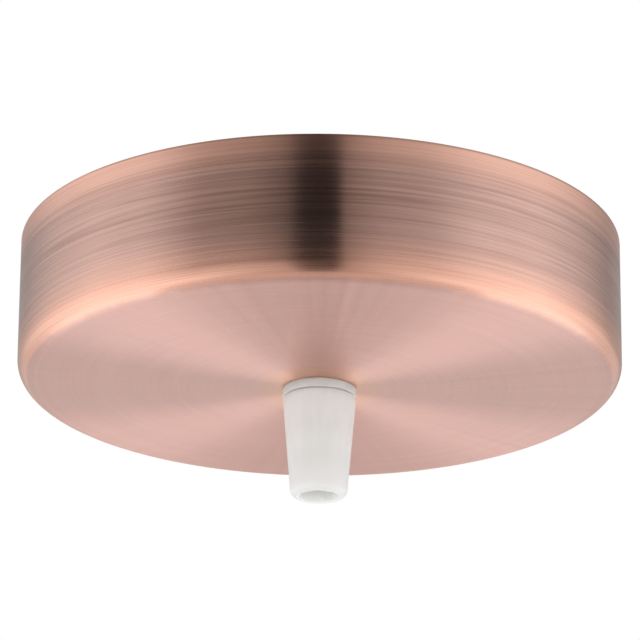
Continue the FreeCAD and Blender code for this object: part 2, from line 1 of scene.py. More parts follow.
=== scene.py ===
"""Dresses a ceiling rose: a brushed copper canopy with a strap bracket, terminals and a plastic cord grip."""
import math

import bmesh
import bpy
from bpy.props import FloatProperty, FloatVectorProperty, IntProperty, PointerProperty
from mathutils import Matrix, Vector


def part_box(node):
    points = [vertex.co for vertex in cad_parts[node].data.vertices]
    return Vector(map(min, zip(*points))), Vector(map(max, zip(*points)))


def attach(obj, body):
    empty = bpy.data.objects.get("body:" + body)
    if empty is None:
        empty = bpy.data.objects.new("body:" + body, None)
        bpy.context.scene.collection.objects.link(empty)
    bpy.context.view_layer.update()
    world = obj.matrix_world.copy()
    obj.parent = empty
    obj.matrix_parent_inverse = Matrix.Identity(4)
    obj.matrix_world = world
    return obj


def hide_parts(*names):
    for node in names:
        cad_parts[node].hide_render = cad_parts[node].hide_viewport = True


bl_info = {
    "name": "Ceiling Rose",
    "version": (1, 0, 0),
    "blender": (4, 5, 0),
    "location": "3D View > Sidebar > Rose",
    "description": "Builds the pieces and finishes of a ceiling rose with a cord grip",
    "category": "Add Mesh",
}

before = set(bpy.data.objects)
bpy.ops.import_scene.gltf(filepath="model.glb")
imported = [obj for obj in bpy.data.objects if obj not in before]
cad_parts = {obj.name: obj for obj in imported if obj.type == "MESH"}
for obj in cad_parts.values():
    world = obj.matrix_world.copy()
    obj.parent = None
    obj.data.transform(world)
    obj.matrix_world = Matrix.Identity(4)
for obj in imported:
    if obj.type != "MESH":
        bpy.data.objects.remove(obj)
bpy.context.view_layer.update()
MM = 0.001
# Points nearer than this are one point.
WELD = 0.0005 * MM
AXIS_X = Matrix.Rotation(math.radians(90), 4, "Y")
UPSIDE_DOWN = Matrix.Rotation(math.radians(180), 4, "X")
WHITE = (1.0, 1.0, 1.0, 1.0)
# Grey that metal mirrors from straight below.
NADIR = (0.62, 0.62, 0.62, 1.0)
WIRES = ("live", "neutral", "earth")


def linear(red, green, blue):
    """Scene colour of an 8-bit screen colour."""
    channels = []
    for level in (red, green, blue):
        share = level / 255
        channels.append(share / 12.92 if share <= 0.04045 else ((share + 0.055) / 1.055) ** 2.4)
    return tuple(channels)


def length(name, default, description):
    """Length setting, given in millimetres and kept in metres."""
    return FloatProperty(
        name=name, description=description, default=default * MM, min=0.0, unit="LENGTH", precision=5
    )


def number(name, default, lowest, highest, description):
    """Setting that is a whole number."""
    return IntProperty(name=name, description=description, default=default, min=lowest, max=highest)


def colour(name, default, description):
    """Colour setting, given as an 8-bit screen colour."""
    return FloatVectorProperty(
        name=name, description=description, default=linear(*default), min=0.0, max=1.0, size=3,
        subtype="COLOR"
    )


class RoseCanopySettings(bpy.types.PropertyGroup):
    radius: length("Radius", 50.0, "Outside radius of the canopy's wall")
    height: length("Height", 24.0, "From the ceiling to the outer edge of the face")
    crown: length("Crown", 0.7, "How far the middle of the face stands out")
    corner: length("Corner", 3.0, "Outside radius of the corner between wall and face")
    sheet: length("Sheet", 1.0, "Thickness of the pressed sheet")
    seat: length("Seat", 9.0, "Radius of the flat seat in the middle of the face")
    hole: length("Hole", 5.2, "Radius of the hole for the cord grip's stud")
    rim: length("Rim round", 0.3, "Rounding of the rim's outer edge")
    side_hole: length("Side hole", 2.25, "Radius of the two holes for the side screws")
    side_drop: length("Side hole drop", 8.5, "From the ceiling to the side holes")
    segments: number("Segments", 480, 48, 720, "Facets round the canopy")
    copper: colour("Copper", (231, 181, 168), "Brushed copper of the face")
    wall_copper: colour("Wall copper", (217, 172, 158), "Darker copper of the wall")
    bright_copper: colour("Bright copper", (249, 187, 163), "Copper that shows where the corner and rim rub")
    patina: colour("Patina", (150, 114, 101), "Brown of the antique finish")
    dark_patina: colour("Dark patina", (92, 64, 54), "Deepest strokes of the antique finish")


class RoseGripSettings(bpy.types.PropertyGroup):
    stud_pitch: length("Stud pitch", 1.0, "Thread pitch of the stud and its nut")
    stud_depth: length("Stud thread", 0.45, "Thread depth of the stud")
    cap_pitch: length("Cap pitch", 1.5, "Thread pitch of the neck and cap")
    cap_depth: length("Cap thread", 0.4, "Thread depth of the neck")
    fingers: number("Slits", 2, 1, 4, "Saw cuts across the collet, each making two slits")
    slit: length("Slit", 1.0, "Width of the slits between the collet's fingers")
    ridge: length("Ridge", 0.12, "Depth of the grip ridges on the finger tips")
    plastic: colour("Plastic", (253, 255, 249), "Colour of the frosted plastic")


class RoseMetalSettings(bpy.types.PropertyGroup):
    bracket_width: length("Bracket width", 18.0, "Width of the strap bracket")
    bracket_sheet: length("Bracket sheet", 1.5, "Thickness of the strap bracket")
    bracket_bend: length("Bend", 1.5, "Inside radius of the bracket's bends")
    bracket_drop: length("Drop", 14.0, "Height of the bracket's bent ends")
    slot_spacing: length("Slot spacing", 63.0, "Between the middles of the ceiling screw slots")
    slot_length: length("Slot length", 14.0, "Length of the ceiling screw slots")
    slot_radius: length("Slot radius", 2.25, "Half the width of the ceiling screw slots")
    edge: length("Edge", 0.18, "Rounding of punched edges")
    nut_flats: length("Nut flats", 14.0, "Width of the nut across its flats")
    washer_teeth: number("Washer teeth", 12, 6, 24, "Teeth of the lock washer")
    zinc: colour("Zinc", (206, 208, 210), "Bright zinc plate")
    spring: colour("Spring steel", (150, 148, 146), "Plain spring steel")
    screw: colour("Screw steel", (186, 186, 188), "Zinc plated screws")


class RoseTerminalSettings(bpy.types.PropertyGroup):
    pole_pitch: length("Pole pitch", 9.5, "Between neighbouring poles of the block")
    screw_spacing: length("Screw spacing", 8.6, "Between the two screws of one pole")
    small_pitch: length("Screw pitch", 0.5, "Thread pitch of the 3 mm screws")
    small_depth: length("Screw thread", 0.26, "Thread depth of the 3 mm screws")
    large_pitch: length("Large screw pitch", 0.75, "Thread pitch of the 4 mm screws")
    large_depth: length("Large screw thread", 0.38, "Thread depth of the 4 mm screws")
    nylon: colour("Nylon", (236, 232, 220), "Natural white nylon")
    brass: colour("Brass", (226, 196, 122), "Turned brass")


class RoseStudioSettings(bpy.types.PropertyGroup):
    distance: length("Distance", 700.2, "From the camera to the rose")
    rise: FloatProperty(
        name="Rise", description="Camera angle above the rose, negative below",
        default=math.radians(-20.52), unit="ROTATION"
    )
    roll: FloatProperty(name="Roll", description="Turn of the picture", default=0.0074, unit="ROTATION")
    lens: FloatProperty(name="Lens", description="Focal length in millimetres", default=236.6)
    aim: length("Aim", 12.5, "How far below the ceiling the camera aims")
    floor_drop: length("Floor drop", 2000.0, "From the ceiling plane down to the floor")
    floor_radius: length("Floor radius", 1250.0, "Radius of the floor")
    floor_colour: colour("Floor", (240, 240, 240), "Pale floor far below the rose")


class Nodes:
    """Adds nodes to a tree; a value that is a socket is linked, any other is set on the socket."""

    def __init__(self, tree):
        self.tree = tree

    def feed(self, socket, given):
        if isinstance(given, bpy.types.NodeSocket):
            self.tree.links.new(given, socket)
        else:
            socket.default_value = given

    def add(self, kind, given=None, **settings):
        node = self.tree.nodes.new(kind)
        for name, setting in settings.items():
            setattr(node, name, setting)
        for key, item in (given or {}).items():
            self.feed(node.inputs[key], item)
        return node

    def math(self, operation, *given, clamp=False):
        node = self.add("ShaderNodeMath", operation=operation, use_clamp=clamp)
        for index, item in enumerate(given):
            self.feed(node.inputs[index], item)
        return node.outputs[0]

    def plus(self, first, second, clamp=False):
        return self.math("ADD", first, second, clamp=clamp)

    def minus(self, first, second):
        return self.math("SUBTRACT", first, second)

    def times(self, first, second):
        return self.math("MULTIPLY", first, second)

    def over(self, first, second):
        return self.math("DIVIDE", first, second)

    def combine(self, x, y, z):
        return self.add("ShaderNodeCombineXYZ", {0: x, 1: y, 2: z}).outputs[0]

    def grey(self, level):
        return self.combine(level, level, level)

    def separate(self, vector):
        return self.add("ShaderNodeSeparateXYZ", {0: vector}).outputs

    def place(self):
        """Position in the piece's own frame."""
        return self.add("ShaderNodeTexCoord").outputs["Object"]

    def reach(self, x, y):
        """Distance from the Z axis."""
        return self.math("SQRT", self.plus(self.times(x, x), self.times(y, y)))

    def stretched(self, parts, shares):
        """Vector of the parts, each times its share: a noise runs long where the share is small."""
        scaled = [self.times(part, share) if share else 0.0 for part, share in zip(parts, shares)]
        return self.combine(*scaled)

    def fade(self, given, low, high, to_low=0.0, to_high=1.0):
        """Smooth change from one level to another between two inputs."""
        ends = {"Value": given, "From Min": low, "From Max": high, "To Min": to_low, "To Max": to_high}
        return self.add("ShaderNodeMapRange", ends, interpolation_type="SMOOTHSTEP").outputs["Result"]

    def noise(self, vector, scale=1.0, detail=3.0):
        ends = {"Vector": vector, "Scale": scale, "Detail": detail}
        return self.add("ShaderNodeTexNoise", ends).outputs["Fac"]

    def ramp(self, given, stops):
        node = self.add("ShaderNodeValToRGB", {"Fac": given})
        elements = node.color_ramp.elements
        while len(elements) < len(stops):
            elements.new(1.0)
        for element, (place, tone) in zip(elements, stops):
            element.position = place
            element.color = (tone, tone, tone, 1.0) if isinstance(tone, float) else (*tone, 1.0)
        return node.outputs["Color"]

    def mix(self, share, first, second, blend="MIX"):
        node = self.add("ShaderNodeMix", {0: share, 6: first, 7: second}, data_type="RGBA", blend_type=blend)
        return node.outputs[2]

    def rays(self):
        """The light path's outputs, and whether a ray is one that a surface mirrors."""
        path = self.add("ShaderNodeLightPath").outputs
        return path, self.times(path["Is Glossy Ray"], self.minus(1.0, path["Is Transmission Ray"]))


def opaque(tone):
    return (*tone, 1.0)


def shaded(tone, shares):
    """Colour with each channel times its share."""
    return tuple(level * share for level, share in zip(tone, shares))


def new_material(name):
    """Material with only its output, and the node helper for it."""
    material = bpy.data.materials.new(name)
    material.use_nodes = True
    material.node_tree.nodes.clear()
    nodes = Nodes(material.node_tree)
    output = nodes.add("ShaderNodeOutputMaterial")
    return material, nodes, output


def principled(nodes, output, given):
    shader = nodes.add("ShaderNodeBsdfPrincipled", given)
    nodes.feed(output.inputs["Surface"], shader.outputs[0])


def bump(nodes, height, strength):
    """Normal of a skin whose grain is a hundredth of a millimetre deep."""
    ends = {"Height": height, "Distance": 0.01 * MM, "Strength": strength}
    return nodes.add("ShaderNodeBump", ends).outputs["Normal"]


def brushed_copper(settings):
    """Antique copper: scratches run round the axis, and the finish is darker in strokes up the wall."""
    material, nodes, output = new_material("brushed_antique_copper")
    x, y, z = nodes.separate(nodes.place())
    reach = nodes.math("MAXIMUM", nodes.reach(x, y), 0.1 * MM)
    side, front = nodes.over(x, reach), nodes.over(y, reach)
    along = nodes.minus(nodes.minus(settings.radius, reach), z)
    whole = settings.height + settings.radius
    zone = nodes.over(along, whole)
    corner = (settings.height - settings.corner) / MM

    def brushed(around, across, detail):
        return nodes.noise(nodes.stretched((side, front, along), (around, around, across)), detail=detail)

    def banded(*stops):
        """Tone along the section, by millimetres from the rim."""
        return nodes.ramp(zone, [(run * MM / whole, tone) for run, tone in stops])

    face, wall, bright = tuple(settings.copper), tuple(settings.wall_copper), tuple(settings.bright_copper)
    edge = tuple(0.4 * dull + 0.6 * shine for dull, shine in zip(wall, bright))
    # Painted reflection: the face turns warmer towards the hole, standing in for the cord grip's flange
    # mirrored in it.
    painted_reflection = shaded(face, (1.08, 1.06, 0.9))
    light = banded(
        (0.0, bright), (0.8, edge), (2.4, edge), (6.0, wall), (corner - 5.0, wall), (corner - 1.0, edge),
        (corner + 0.4, bright), (corner + 3.6, bright), (corner + 4.9, face), (62.0, face), (68.8, painted_reflection))
    share = banded(
        (0.0, 0.9), (0.15, 0.8), (0.5, 0.1), (2.6, 0.12), (6.0, 0.36), (11.0, 0.34), (17.0, 0.2),
        (corner, 0.05), (corner + 3.9, 0.02), (corner + 4.7, 0.1), (corner + 6.0, 0.05), (73.0, 0.04))

    streaks = brushed(0.8, 1500.0, 3.0)
    clouds = brushed(1.6, 130.0, 3.0)
    scratches = brushed(1.4, 3900.0, 0.0)
    hairlines = brushed(1.1, 2000.0, 1.0)
    lines = nodes.math("ABSOLUTE", nodes.minus(brushed(0.7, 1000.0, 1.0), 0.5))

    worn = nodes.times(nodes.minus(streaks, 0.5), 0.95)
    worn = nodes.plus(worn, nodes.times(nodes.minus(clouds, 0.5), 0.5))
    stained = nodes.plus(nodes.times(worn, nodes.fade(share, 0.03, 0.3, 0.2, 1.0)), share, clamp=True)
    deep = nodes.times(nodes.fade(lines, 0.0, 0.06, 1.0, 0.0), nodes.fade(share, 0.02, 0.35, 0.0, 0.16))
    pale = nodes.fade(hairlines, 0.36, 0.2, 0.0, 0.3)
    tone = nodes.mix(stained, light, opaque(settings.patina))
    tone = nodes.mix(deep, tone, opaque(settings.dark_patina))
    tone = nodes.mix(pale, tone, opaque(settings.bright_copper))
    shallow = nodes.fade(along, settings.height - 1.0 * MM, settings.height + 2.0 * MM, 1.0, 0.1)
    grain = nodes.plus(1.0, nodes.times(nodes.fade(scratches, 0.3, 0.7, -0.07, 0.05), shallow))
    tone = nodes.mix(1.0, tone, nodes.grey(grain), "MULTIPLY")

    sectors = nodes.noise(nodes.stretched((side, front, 0.0), (22.0, 22.0, 0.0)), detail=4.0)
    sectors = nodes.times(nodes.fade(sectors, 0.3, 0.7, -0.03, 0.03), nodes.fade(shallow, 1.0, 0.1))
    gloss = nodes.plus(nodes.fade(scratches, 0.3, 0.7, 0.18, 0.22), nodes.fade(shallow, 1.0, 0.1, 0.0, 0.12))
    blurred = banded(
        (0.0, 0.15), (1.0, 0.12), (8.0, 0.0), (corner - 8.0, 0.0), (corner, 0.07), (corner + 1.5, 0.0))
    roughness = nodes.plus(nodes.plus(nodes.times(stained, 0.08), sectors), nodes.plus(gloss, blurred))
    tangent = nodes.add("ShaderNodeTangent", direction_type="RADIAL", axis="Z").outputs["Tangent"]
    principled(nodes, output, {
        "Base Color": tone, "Metallic": 1.0, "Roughness": roughness, "Tangent": tangent, "Anisotropic": 1.0,
        "Anisotropic Rotation": 0.25, "Coat Weight": 0.15, "Coat Roughness": 0.25})
    return material


def plain_copper(settings):
    """Unbrushed inside of the canopy, with the satin bloom of the plating bath."""
    material, nodes, output = new_material("plated_inside")
    place = nodes.place()
    bloom = nodes.noise(place, 45.0, 3.0)
    specks = nodes.noise(place, 1400.0, 2.0)
    share = nodes.fade(bloom, 0.25, 0.75, 0.6, 0.8)
    principled(nodes, output, {
        "Base Color": nodes.mix(share, opaque(settings.patina), opaque(settings.copper)), "Metallic": 1.0,
        "Roughness": nodes.fade(bloom, 0.3, 0.7, 0.42, 0.36), "Normal": bump(nodes, specks, 0.3)})
    return material


def metal(name, tone, roughness, cloud_scale, grain_scale, tint=0.07, rolled=False):
    """Plated or turned metal with uneven gloss and a fine grain, which runs along a rolled strap."""
    material, nodes, output = new_material(name)
    place = nodes.place()
    clouds = nodes.noise(place, cloud_scale, 4.0)
    if rolled:
        x, y, z = nodes.separate(place)
        along = nodes.minus(nodes.math("ABSOLUTE", x), z)
        grain = nodes.noise(nodes.stretched((along, y, 0.0), (90.0, grain_scale, 0.0)), detail=2.0)
    else:
        grain = nodes.noise(place, grain_scale, 3.0)
    darker = shaded(tone, [1.0 - tint] * 3)
    shade = nodes.mix(nodes.fade(nodes.mix(0.5, clouds, grain), 0.3, 0.7), opaque(darker), opaque(tone))
    gloss = nodes.plus(nodes.fade(clouds, 0.25, 0.75, roughness * 0.9, roughness * 1.15),
                       nodes.fade(grain, 0.35, 0.65, -0.03, 0.03))
    principled(nodes, output, {
        "Base Color": shade, "Metallic": 1.0, "Roughness": gloss, "Normal": bump(nodes, grain, 0.3)})
    return material


def frosted_plastic(name, settings, clear, tip=None):
    """Milky plastic with a finely etched skin; the clear share lets light through as glass does.

    A tip, as two heights in metres, is where painted shade greys the outer skin towards the thin end.
    """
    material, nodes, output = new_material(name)
    place = nodes.place()
    x, y, z = nodes.separate(place)
    flow = nodes.noise(nodes.stretched((x, y, z), (420.0, 420.0, 70.0)))
    etch = nodes.noise(place, 2600.0, 2.0)
    darker = shaded(settings.plastic, [0.91] * 3)
    tone = nodes.mix(nodes.fade(flow, 0.3, 0.7), opaque(darker), opaque(settings.plastic))
    if tip:
        outer = nodes.fade(nodes.reach(x, y), 3.3 * MM, 3.9 * MM)
        # Painted shade: the outer skin turns grey towards the thin end of the cap.
        painted_shade_grey = shaded(settings.plastic, (0.77, 0.755, 0.785))
        tone = nodes.mix(nodes.times(nodes.fade(z, *tip), outer), tone, opaque(painted_shade_grey))
    principled(nodes, output, {
        "Base Color": tone, "Roughness": nodes.fade(etch, 0.3, 0.7, 0.34, 0.46), "IOR": 1.46,
        "Subsurface Weight": 0.8, "Subsurface Radius": (1.0, 1.0, 1.0), "Subsurface Scale": 3.0 * MM,
        "Transmission Weight": clear, "Normal": bump(nodes, etch, 0.3)})
    return material


def moulded_nylon(settings):
    """Natural nylon with a faint moulded texture."""
    material, nodes, output = new_material("moulded_nylon")
    place = nodes.place()
    flow = nodes.noise(place, 120.0, 4.0)
    skin = nodes.noise(place, 3200.0, 3.0)
    darker = shaded(settings.nylon, [0.93] * 3)
    principled(nodes, output, {
        "Base Color": nodes.mix(nodes.fade(flow, 0.3, 0.7), opaque(darker), opaque(settings.nylon)),
        "Roughness": nodes.fade(skin, 0.3, 0.7, 0.42, 0.56), "IOR": 1.53, "Subsurface Weight": 0.15,
        "Subsurface Scale": 2.0 * MM, "Normal": bump(nodes, skin, 0.5)})
    return material


class Editing:
    """Opens a mesh for a change, and writes it back at the end."""

    def __init__(self, mesh):
        self.mesh = mesh

    def __enter__(self):
        self.form = bmesh.new()
        self.form.from_mesh(self.mesh)
        return self.form

    def __exit__(self, *_):
        self.form.to_mesh(self.mesh)
        self.form.free()


def new_object(name, data):
    thing = bpy.data.objects.new(name, data)
    bpy.context.scene.collection.objects.link(thing)
    return thing


def discard(thing):
    data = thing.data
    bpy.data.objects.remove(thing)
    if isinstance(data, bpy.types.Mesh):
        bpy.data.meshes.remove(data)
    else:
        bpy.data.curves.remove(data)


def settled(thing):
    """Same-named object whose mesh has the modifiers' result in it."""
    depsgraph = bpy.context.evaluated_depsgraph_get()
    mesh = bpy.data.meshes.new_from_object(thing.evaluated_get(depsgraph), depsgraph=depsgraph)
    name = thing.name
    discard(thing)
    mesh.name = name
    return new_object(name, mesh)


def tree_socket(tree, name):
    for item in tree.interface.items_tree:
        if item.item_type == "SOCKET" and item.in_out == "INPUT" and item.name == name:
            return item.identifier
    raise KeyError(f"{tree.name} has no input {name}")


def with_tree(thing, tree, inputs):
    """Runs a Geometry Nodes tree on an object and keeps the plain mesh."""
    modifier = thing.modifiers.new(tree.name, "NODES")
    modifier.node_group = tree
    for name, given in inputs.items():
        modifier[tree_socket(tree, name)] = given
    return settled(thing)


def new_tree(name, sockets):
    if name in bpy.data.node_groups:
        return bpy.data.node_groups[name], None, None, None
    tree = bpy.data.node_groups.new(name, "GeometryNodeTree")
    tree.interface.new_socket("Geometry", in_out="INPUT", socket_type="NodeSocketGeometry")
    tree.interface.new_socket("Geometry", in_out="OUTPUT", socket_type="NodeSocketGeometry")
    for label, kind in sockets:
        tree.interface.new_socket(label, in_out="INPUT", socket_type=f"NodeSocket{kind}")
    nodes = Nodes(tree)
    return tree, nodes, nodes.add("NodeGroupInput").outputs, nodes.add("NodeGroupOutput")


def close_tree(nodes, output, form, material):
    """Ends a tree with its form as real geometry in one material."""
    form = nodes.add("GeometryNodeRealizeInstances", {"Geometry": form}).outputs[0]
    form = nodes.add("GeometryNodeSetMaterial", {"Geometry": form, "Material": material}).outputs[0]
    nodes.feed(output.inputs[0], form)


def turned_tree():
    """Turns a half section round Z; its thread attribute says where a right-hand thread is cut."""
    tree, nodes, given, output = new_tree("Turned form", (
        ("Segments", "Int"), ("Pitch", "Float"), ("Depth", "Float"), ("Material", "Material")))
    if nodes is None:
        return tree
    section = given["Geometry"]
    columns = nodes.plus(given["Segments"], 1.0)
    size = nodes.add("GeometryNodeAttributeDomainSize", {"Geometry": section}, component="MESH")
    ends = {"Vertices X": size.outputs["Point Count"], "Vertices Y": columns}
    grid = nodes.add("GeometryNodeMeshGrid", ends).outputs["Mesh"]
    index = nodes.add("GeometryNodeInputIndex").outputs[0]
    row = nodes.math("FLOOR", nodes.over(index, columns))
    column = nodes.minus(index, nodes.times(row, columns))

    def sampled(value, kind):
        ends = {"Geometry": section, "Value": value, "Index": row}
        return nodes.add("GeometryNodeSampleIndex", ends, data_type=kind).outputs["Value"]

    mark = nodes.add("GeometryNodeInputNamedAttribute", {"Name": "thread"}, data_type="FLOAT")
    cut = sampled(mark.outputs["Attribute"], "FLOAT")
    point = sampled(nodes.add("GeometryNodeInputPosition").outputs[0], "FLOAT_VECTOR")
    radius, _, height = nodes.separate(point)
    turns = nodes.over(column, given["Segments"])
    phase = nodes.math("FRACT", nodes.minus(nodes.over(height, given["Pitch"]), turns))
    ridge = nodes.math("ABSOLUTE", nodes.minus(nodes.times(phase, 2.0), 1.0))
    ends = {"Value": ridge, "From Min": 0.12, "From Max": 0.88}
    flank = nodes.add("ShaderNodeMapRange", ends).outputs["Result"]
    radius = nodes.minus(radius, nodes.times(nodes.times(flank, given["Depth"]), cut))
    angle = nodes.times(turns, math.tau)
    x, y = (nodes.times(radius, nodes.math(kind, angle)) for kind in ("COSINE", "SINE"))
    spot = nodes.combine(x, y, height)
    form = nodes.add("GeometryNodeSetPosition", {"Geometry": grid, "Position": spot}).outputs[0]
    form = nodes.add("GeometryNodeMergeByDistance", {"Geometry": form, "Distance": WELD}).outputs[0]
    close_tree(nodes, output, form, given["Material"])
    return tree


def ring_tree():
    """Sets copies of one piece round Z, each turned to face outwards."""
    tree, nodes, given, output = new_tree("Ring of copies", (("Count", "Int"), ("Material", "Material")))
    if nodes is None:
        return tree
    count = given["Count"]
    spots = nodes.add("GeometryNodePoints", {"Count": count, "Position": (0.0, 0.0, 0.0)}).outputs[0]
    index = nodes.add("GeometryNodeInputIndex").outputs[0]
    angle = nodes.times(nodes.over(index, count), math.tau)
    ends = {"Points": spots, "Instance": given["Geometry"], "Rotation": nodes.combine(0.0, 0.0, angle)}
    copies = nodes.add("GeometryNodeInstanceOnPoints", ends).outputs[0]
    close_tree(nodes, output, copies, given["Material"])
    return tree


def rounded(corners, finest=12.0):
    """Points round a closed outline for each corner, given as (x, y, rounding)."""
    groups = []
    for index, corner in enumerate(corners):
        here = Vector(corner[:2])
        rounding = corner[2] if len(corner) > 2 else 0.0
        if not rounding:
            groups.append([here])
            continue
        back = (Vector(corners[index - 1][:2]) - here).normalized()
        on = (Vector(corners[(index + 1) % len(corners)][:2]) - here).normalized()
        opening = back.angle(on)
        reach = rounding / math.tan(opening / 2)
        centre = here + (back + on).normalized() * rounding / math.sin(opening / 2)
        start, end = here + back * reach - centre, here + on * reach - centre
        swing = start.angle_signed(end)
        steps = max(2, round(math.degrees(abs(swing)) / finest))
        turns = [Matrix.Rotation(-swing * step / steps, 2) for step in range(steps + 1)]
        groups.append([centre + turn @ start for turn in turns])
    return groups


def contour(corners):
    """Closed outline with its corners rounded, each given as (x, y, rounding)."""
    return [point for group in rounded(corners) for point in group]


def circle(x, y, radius, count=48):
    spread = [math.tau * step / count for step in range(count)]
    return [Vector((x + radius * math.cos(angle), y + radius * math.sin(angle))) for angle in spread]


def stadium(x, y, full, radius, count=24):
    """Slot outline along X."""
    points = []
    for way in (1, -1):
        middle = x + way * (full / 2 - radius)
        for step in range(count + 1):
            angle = math.pi * (step / count - 0.5) + (0.0 if way > 0 else math.pi)
            points.append(Vector((middle + radius * math.cos(angle), y + radius * math.sin(angle))))
    return points


def turned(name, corners, segments, material=None, pitch=1.0, depth=0.0, drop=0.0, turn=None):
    """Turned form from a half section of (radius, height, rounding, threaded) corners in millimetres.

    A section that starts and ends on the axis stays open there. The thread runs from its corner to the next.
    """
    groups = rounded(corners)
    closed = corners[0][0] > 0 or corners[-1][0] > 0
    points = []
    for index, group in enumerate(groups):
        points += [(point.x, point.y, 0.0) for point in group]
        if len(corners[index]) > 3 and corners[index][3]:
            start, end = group[-1], groups[(index + 1) % len(groups)][0]
            run = (end - start).length
            steps = max(4, round(run / (pitch / 10)))
            for step in range(1, steps):
                spot = start.lerp(end, step / steps)
                mark = min(1.0, 2.0 * run * min(step, steps - step) / steps / pitch)
                points.append((spot.x, spot.y, mark))
    if closed:
        points.append(points[0])
    mesh = bpy.data.meshes.new(name)
    spots = [(radius * MM, 0.0, (height + drop) * MM) for radius, height, _ in points]
    mesh.from_pydata(spots, [(step, step + 1) for step in range(len(points) - 1)], [])
    marks = mesh.attributes.new("thread", "FLOAT", "POINT")
    marks.data.foreach_set("value", [mark for _, _, mark in points])
    form = with_tree(new_object(name, mesh), turned_tree(), {
        "Segments": segments, "Pitch": pitch * MM, "Depth": depth * MM, "Material": material})
    outwards(form)
    return moved(form, turn) if turn else form


def outwards(thing):
    """Turns a closed form's faces outwards, which a cutting form needs as well."""
    with Editing(thing.data) as bm:
        if bm.calc_volume(signed=True) < 0:
            bmesh.ops.reverse_faces(bm, faces=bm.faces)


def moved(thing, matrix):
    thing.data.transform(matrix)
    return thing


def shift(x, y, z):
    """Translation by millimetres."""
    return Matrix.Translation((x * MM, y * MM, z * MM))


def in_mm(settings, *names):
    """Lengths from a group of settings, in millimetres."""
    return [getattr(settings, name) / MM for name in names]


def span(node, axis):
    """Low end, middle and length of a CAD node along one axis, in millimetres."""
    low, high = (corner[axis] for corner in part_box(node))
    return low / MM, (low + high) / 2 / MM, (high - low) / MM


def plate(name, outlines, thickness, edge, turn=None):
    """Plate between z = 0 and its thickness, from closed outlines in millimetres, with rounded edges."""
    curve = bpy.data.curves.new(name, "CURVE")
    curve.dimensions = "2D"
    curve.fill_mode = "BOTH"
    curve.extrude = (thickness / 2 - edge) * MM
    curve.bevel_depth = edge * MM
    curve.bevel_resolution = 2
    curve.offset = -edge * MM
    for outline in outlines:
        spline = curve.splines.new("POLY")
        spline.points.add(len(outline) - 1)
        spline.use_cyclic_u = True
        for point, spot in zip(spline.points, outline):
            point.co = (spot[0] * MM, spot[1] * MM, 0.0, 1.0)
    form = moved(settled(new_object(name, curve)), shift(0.0, 0.0, thickness / 2))
    with Editing(form.data) as bm:
        bmesh.ops.remove_doubles(bm, verts=bm.verts, dist=2 * WELD)
        bmesh.ops.recalc_face_normals(bm, faces=bm.faces)
    return moved(form, turn) if turn else form


def block(name, low, high):
    """Plain box, used only to cut with."""
    size = [(b - a) * MM for a, b in zip(low, high)]
    middle = [(b + a) / 2 * MM for a, b in zip(low, high)]
    form = Matrix.Translation(middle) @ Matrix.Diagonal((*size, 1.0))
    mesh = bpy.data.meshes.new(name)
    with Editing(mesh) as bm:
        bmesh.ops.create_cube(bm, size=1.0)
        bmesh.ops.transform(bm, matrix=form, verts=bm.verts)
    return new_object(name, mesh)


def joined(name, things):
    """One object from several, which are used up."""
    mesh = bpy.data.meshes.new(name)
    with Editing(mesh) as bm:
        for thing in things:
            bm.from_mesh(thing.data)
            discard(thing)
    return new_object(name, mesh)


def carved(thing, operation, *tools):
    """Result of a boolean with each tool in turn; the tools are used up."""
    for tool in tools:
        modifier = thing.modifiers.new(operation, "BOOLEAN")
        modifier.operation = operation
        modifier.solver = "EXACT"
        modifier.object = tool
    result = settled(thing)
    for tool in tools:
        discard(tool)
    return result


def finished(thing, body, nodes, materials, sharp=32.0):
    """Welds a piece, turns its faces outwards, shades it, and ties it to its body and CAD nodes."""
    limit = math.radians(sharp)
    with Editing(thing.data) as bm:
        bmesh.ops.remove_doubles(bm, verts=bm.verts, dist=WELD)
        bmesh.ops.dissolve_degenerate(bm, edges=bm.edges, dist=0.0002 * MM)
        bmesh.ops.recalc_face_normals(bm, faces=bm.faces)
        for edge in bm.edges:
            edge.smooth = len(edge.link_faces) == 2 and edge.calc_face_angle(0.0) < limit
        for face in bm.faces:
            face.smooth = True
            face.material_index = 0
    for attribute in [a for a in thing.data.attributes if a.name == "thread"]:
        thing.data.attributes.remove(attribute)
    thing.data.materials.clear()
    for material in materials:
        thing.data.materials.append(material)
    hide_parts(*nodes)
    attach(thing, body)
    return thing


def rod(radius, low, high):
    """Section of a plain rod, mostly to cut with."""
    return [(0.0, low), (radius, low), (radius, high), (0.0, high)]


def bore_section(radius, mouth, half, past, within):
    """Through bore to cut with, whose flared mouths run from past the ends to within them."""
    return [(0.0, -half - past), (mouth, -half - past), (radius, within - half), (radius, half - within),
            (mouth, half + past), (0.0, half + past)]


def screw_slot(reach, half, low, high):
    """Straight slot across a screw's head, to cut with."""
    return block("slot", (-reach, -half, low), (reach, half, high))


def grub_section(radius, long, chamfer=0.3):
    """Headless screw, driven end at the top, with its thread along the whole shank."""
    return [(0.0, 0.0), (radius - chamfer, 0.0, 0.05), (radius, -chamfer, 0.0, True),
            (radius, chamfer - long), (radius - chamfer, -long, 0.05), (0.0, -long)]


def headed_section(radius, long, head, tall, rounding, bare):
    """Headed screw: head below the seat at z = 0, a bare neck, then thread up to the tip."""
    chamfer = 0.3
    return [(0.0, -tall), (head, -tall, rounding), (head, 0.0, 0.12), (radius, 0.0),
            (radius, bare, 0.0, True), (radius, long - chamfer), (radius - chamfer, long, 0.05), (0.0, long)]


def thread(settings, kind):
    """Pitch and depth of one of the threads, in millimetres."""
    return in_mm(settings, f"{kind}_pitch", f"{kind}_depth")


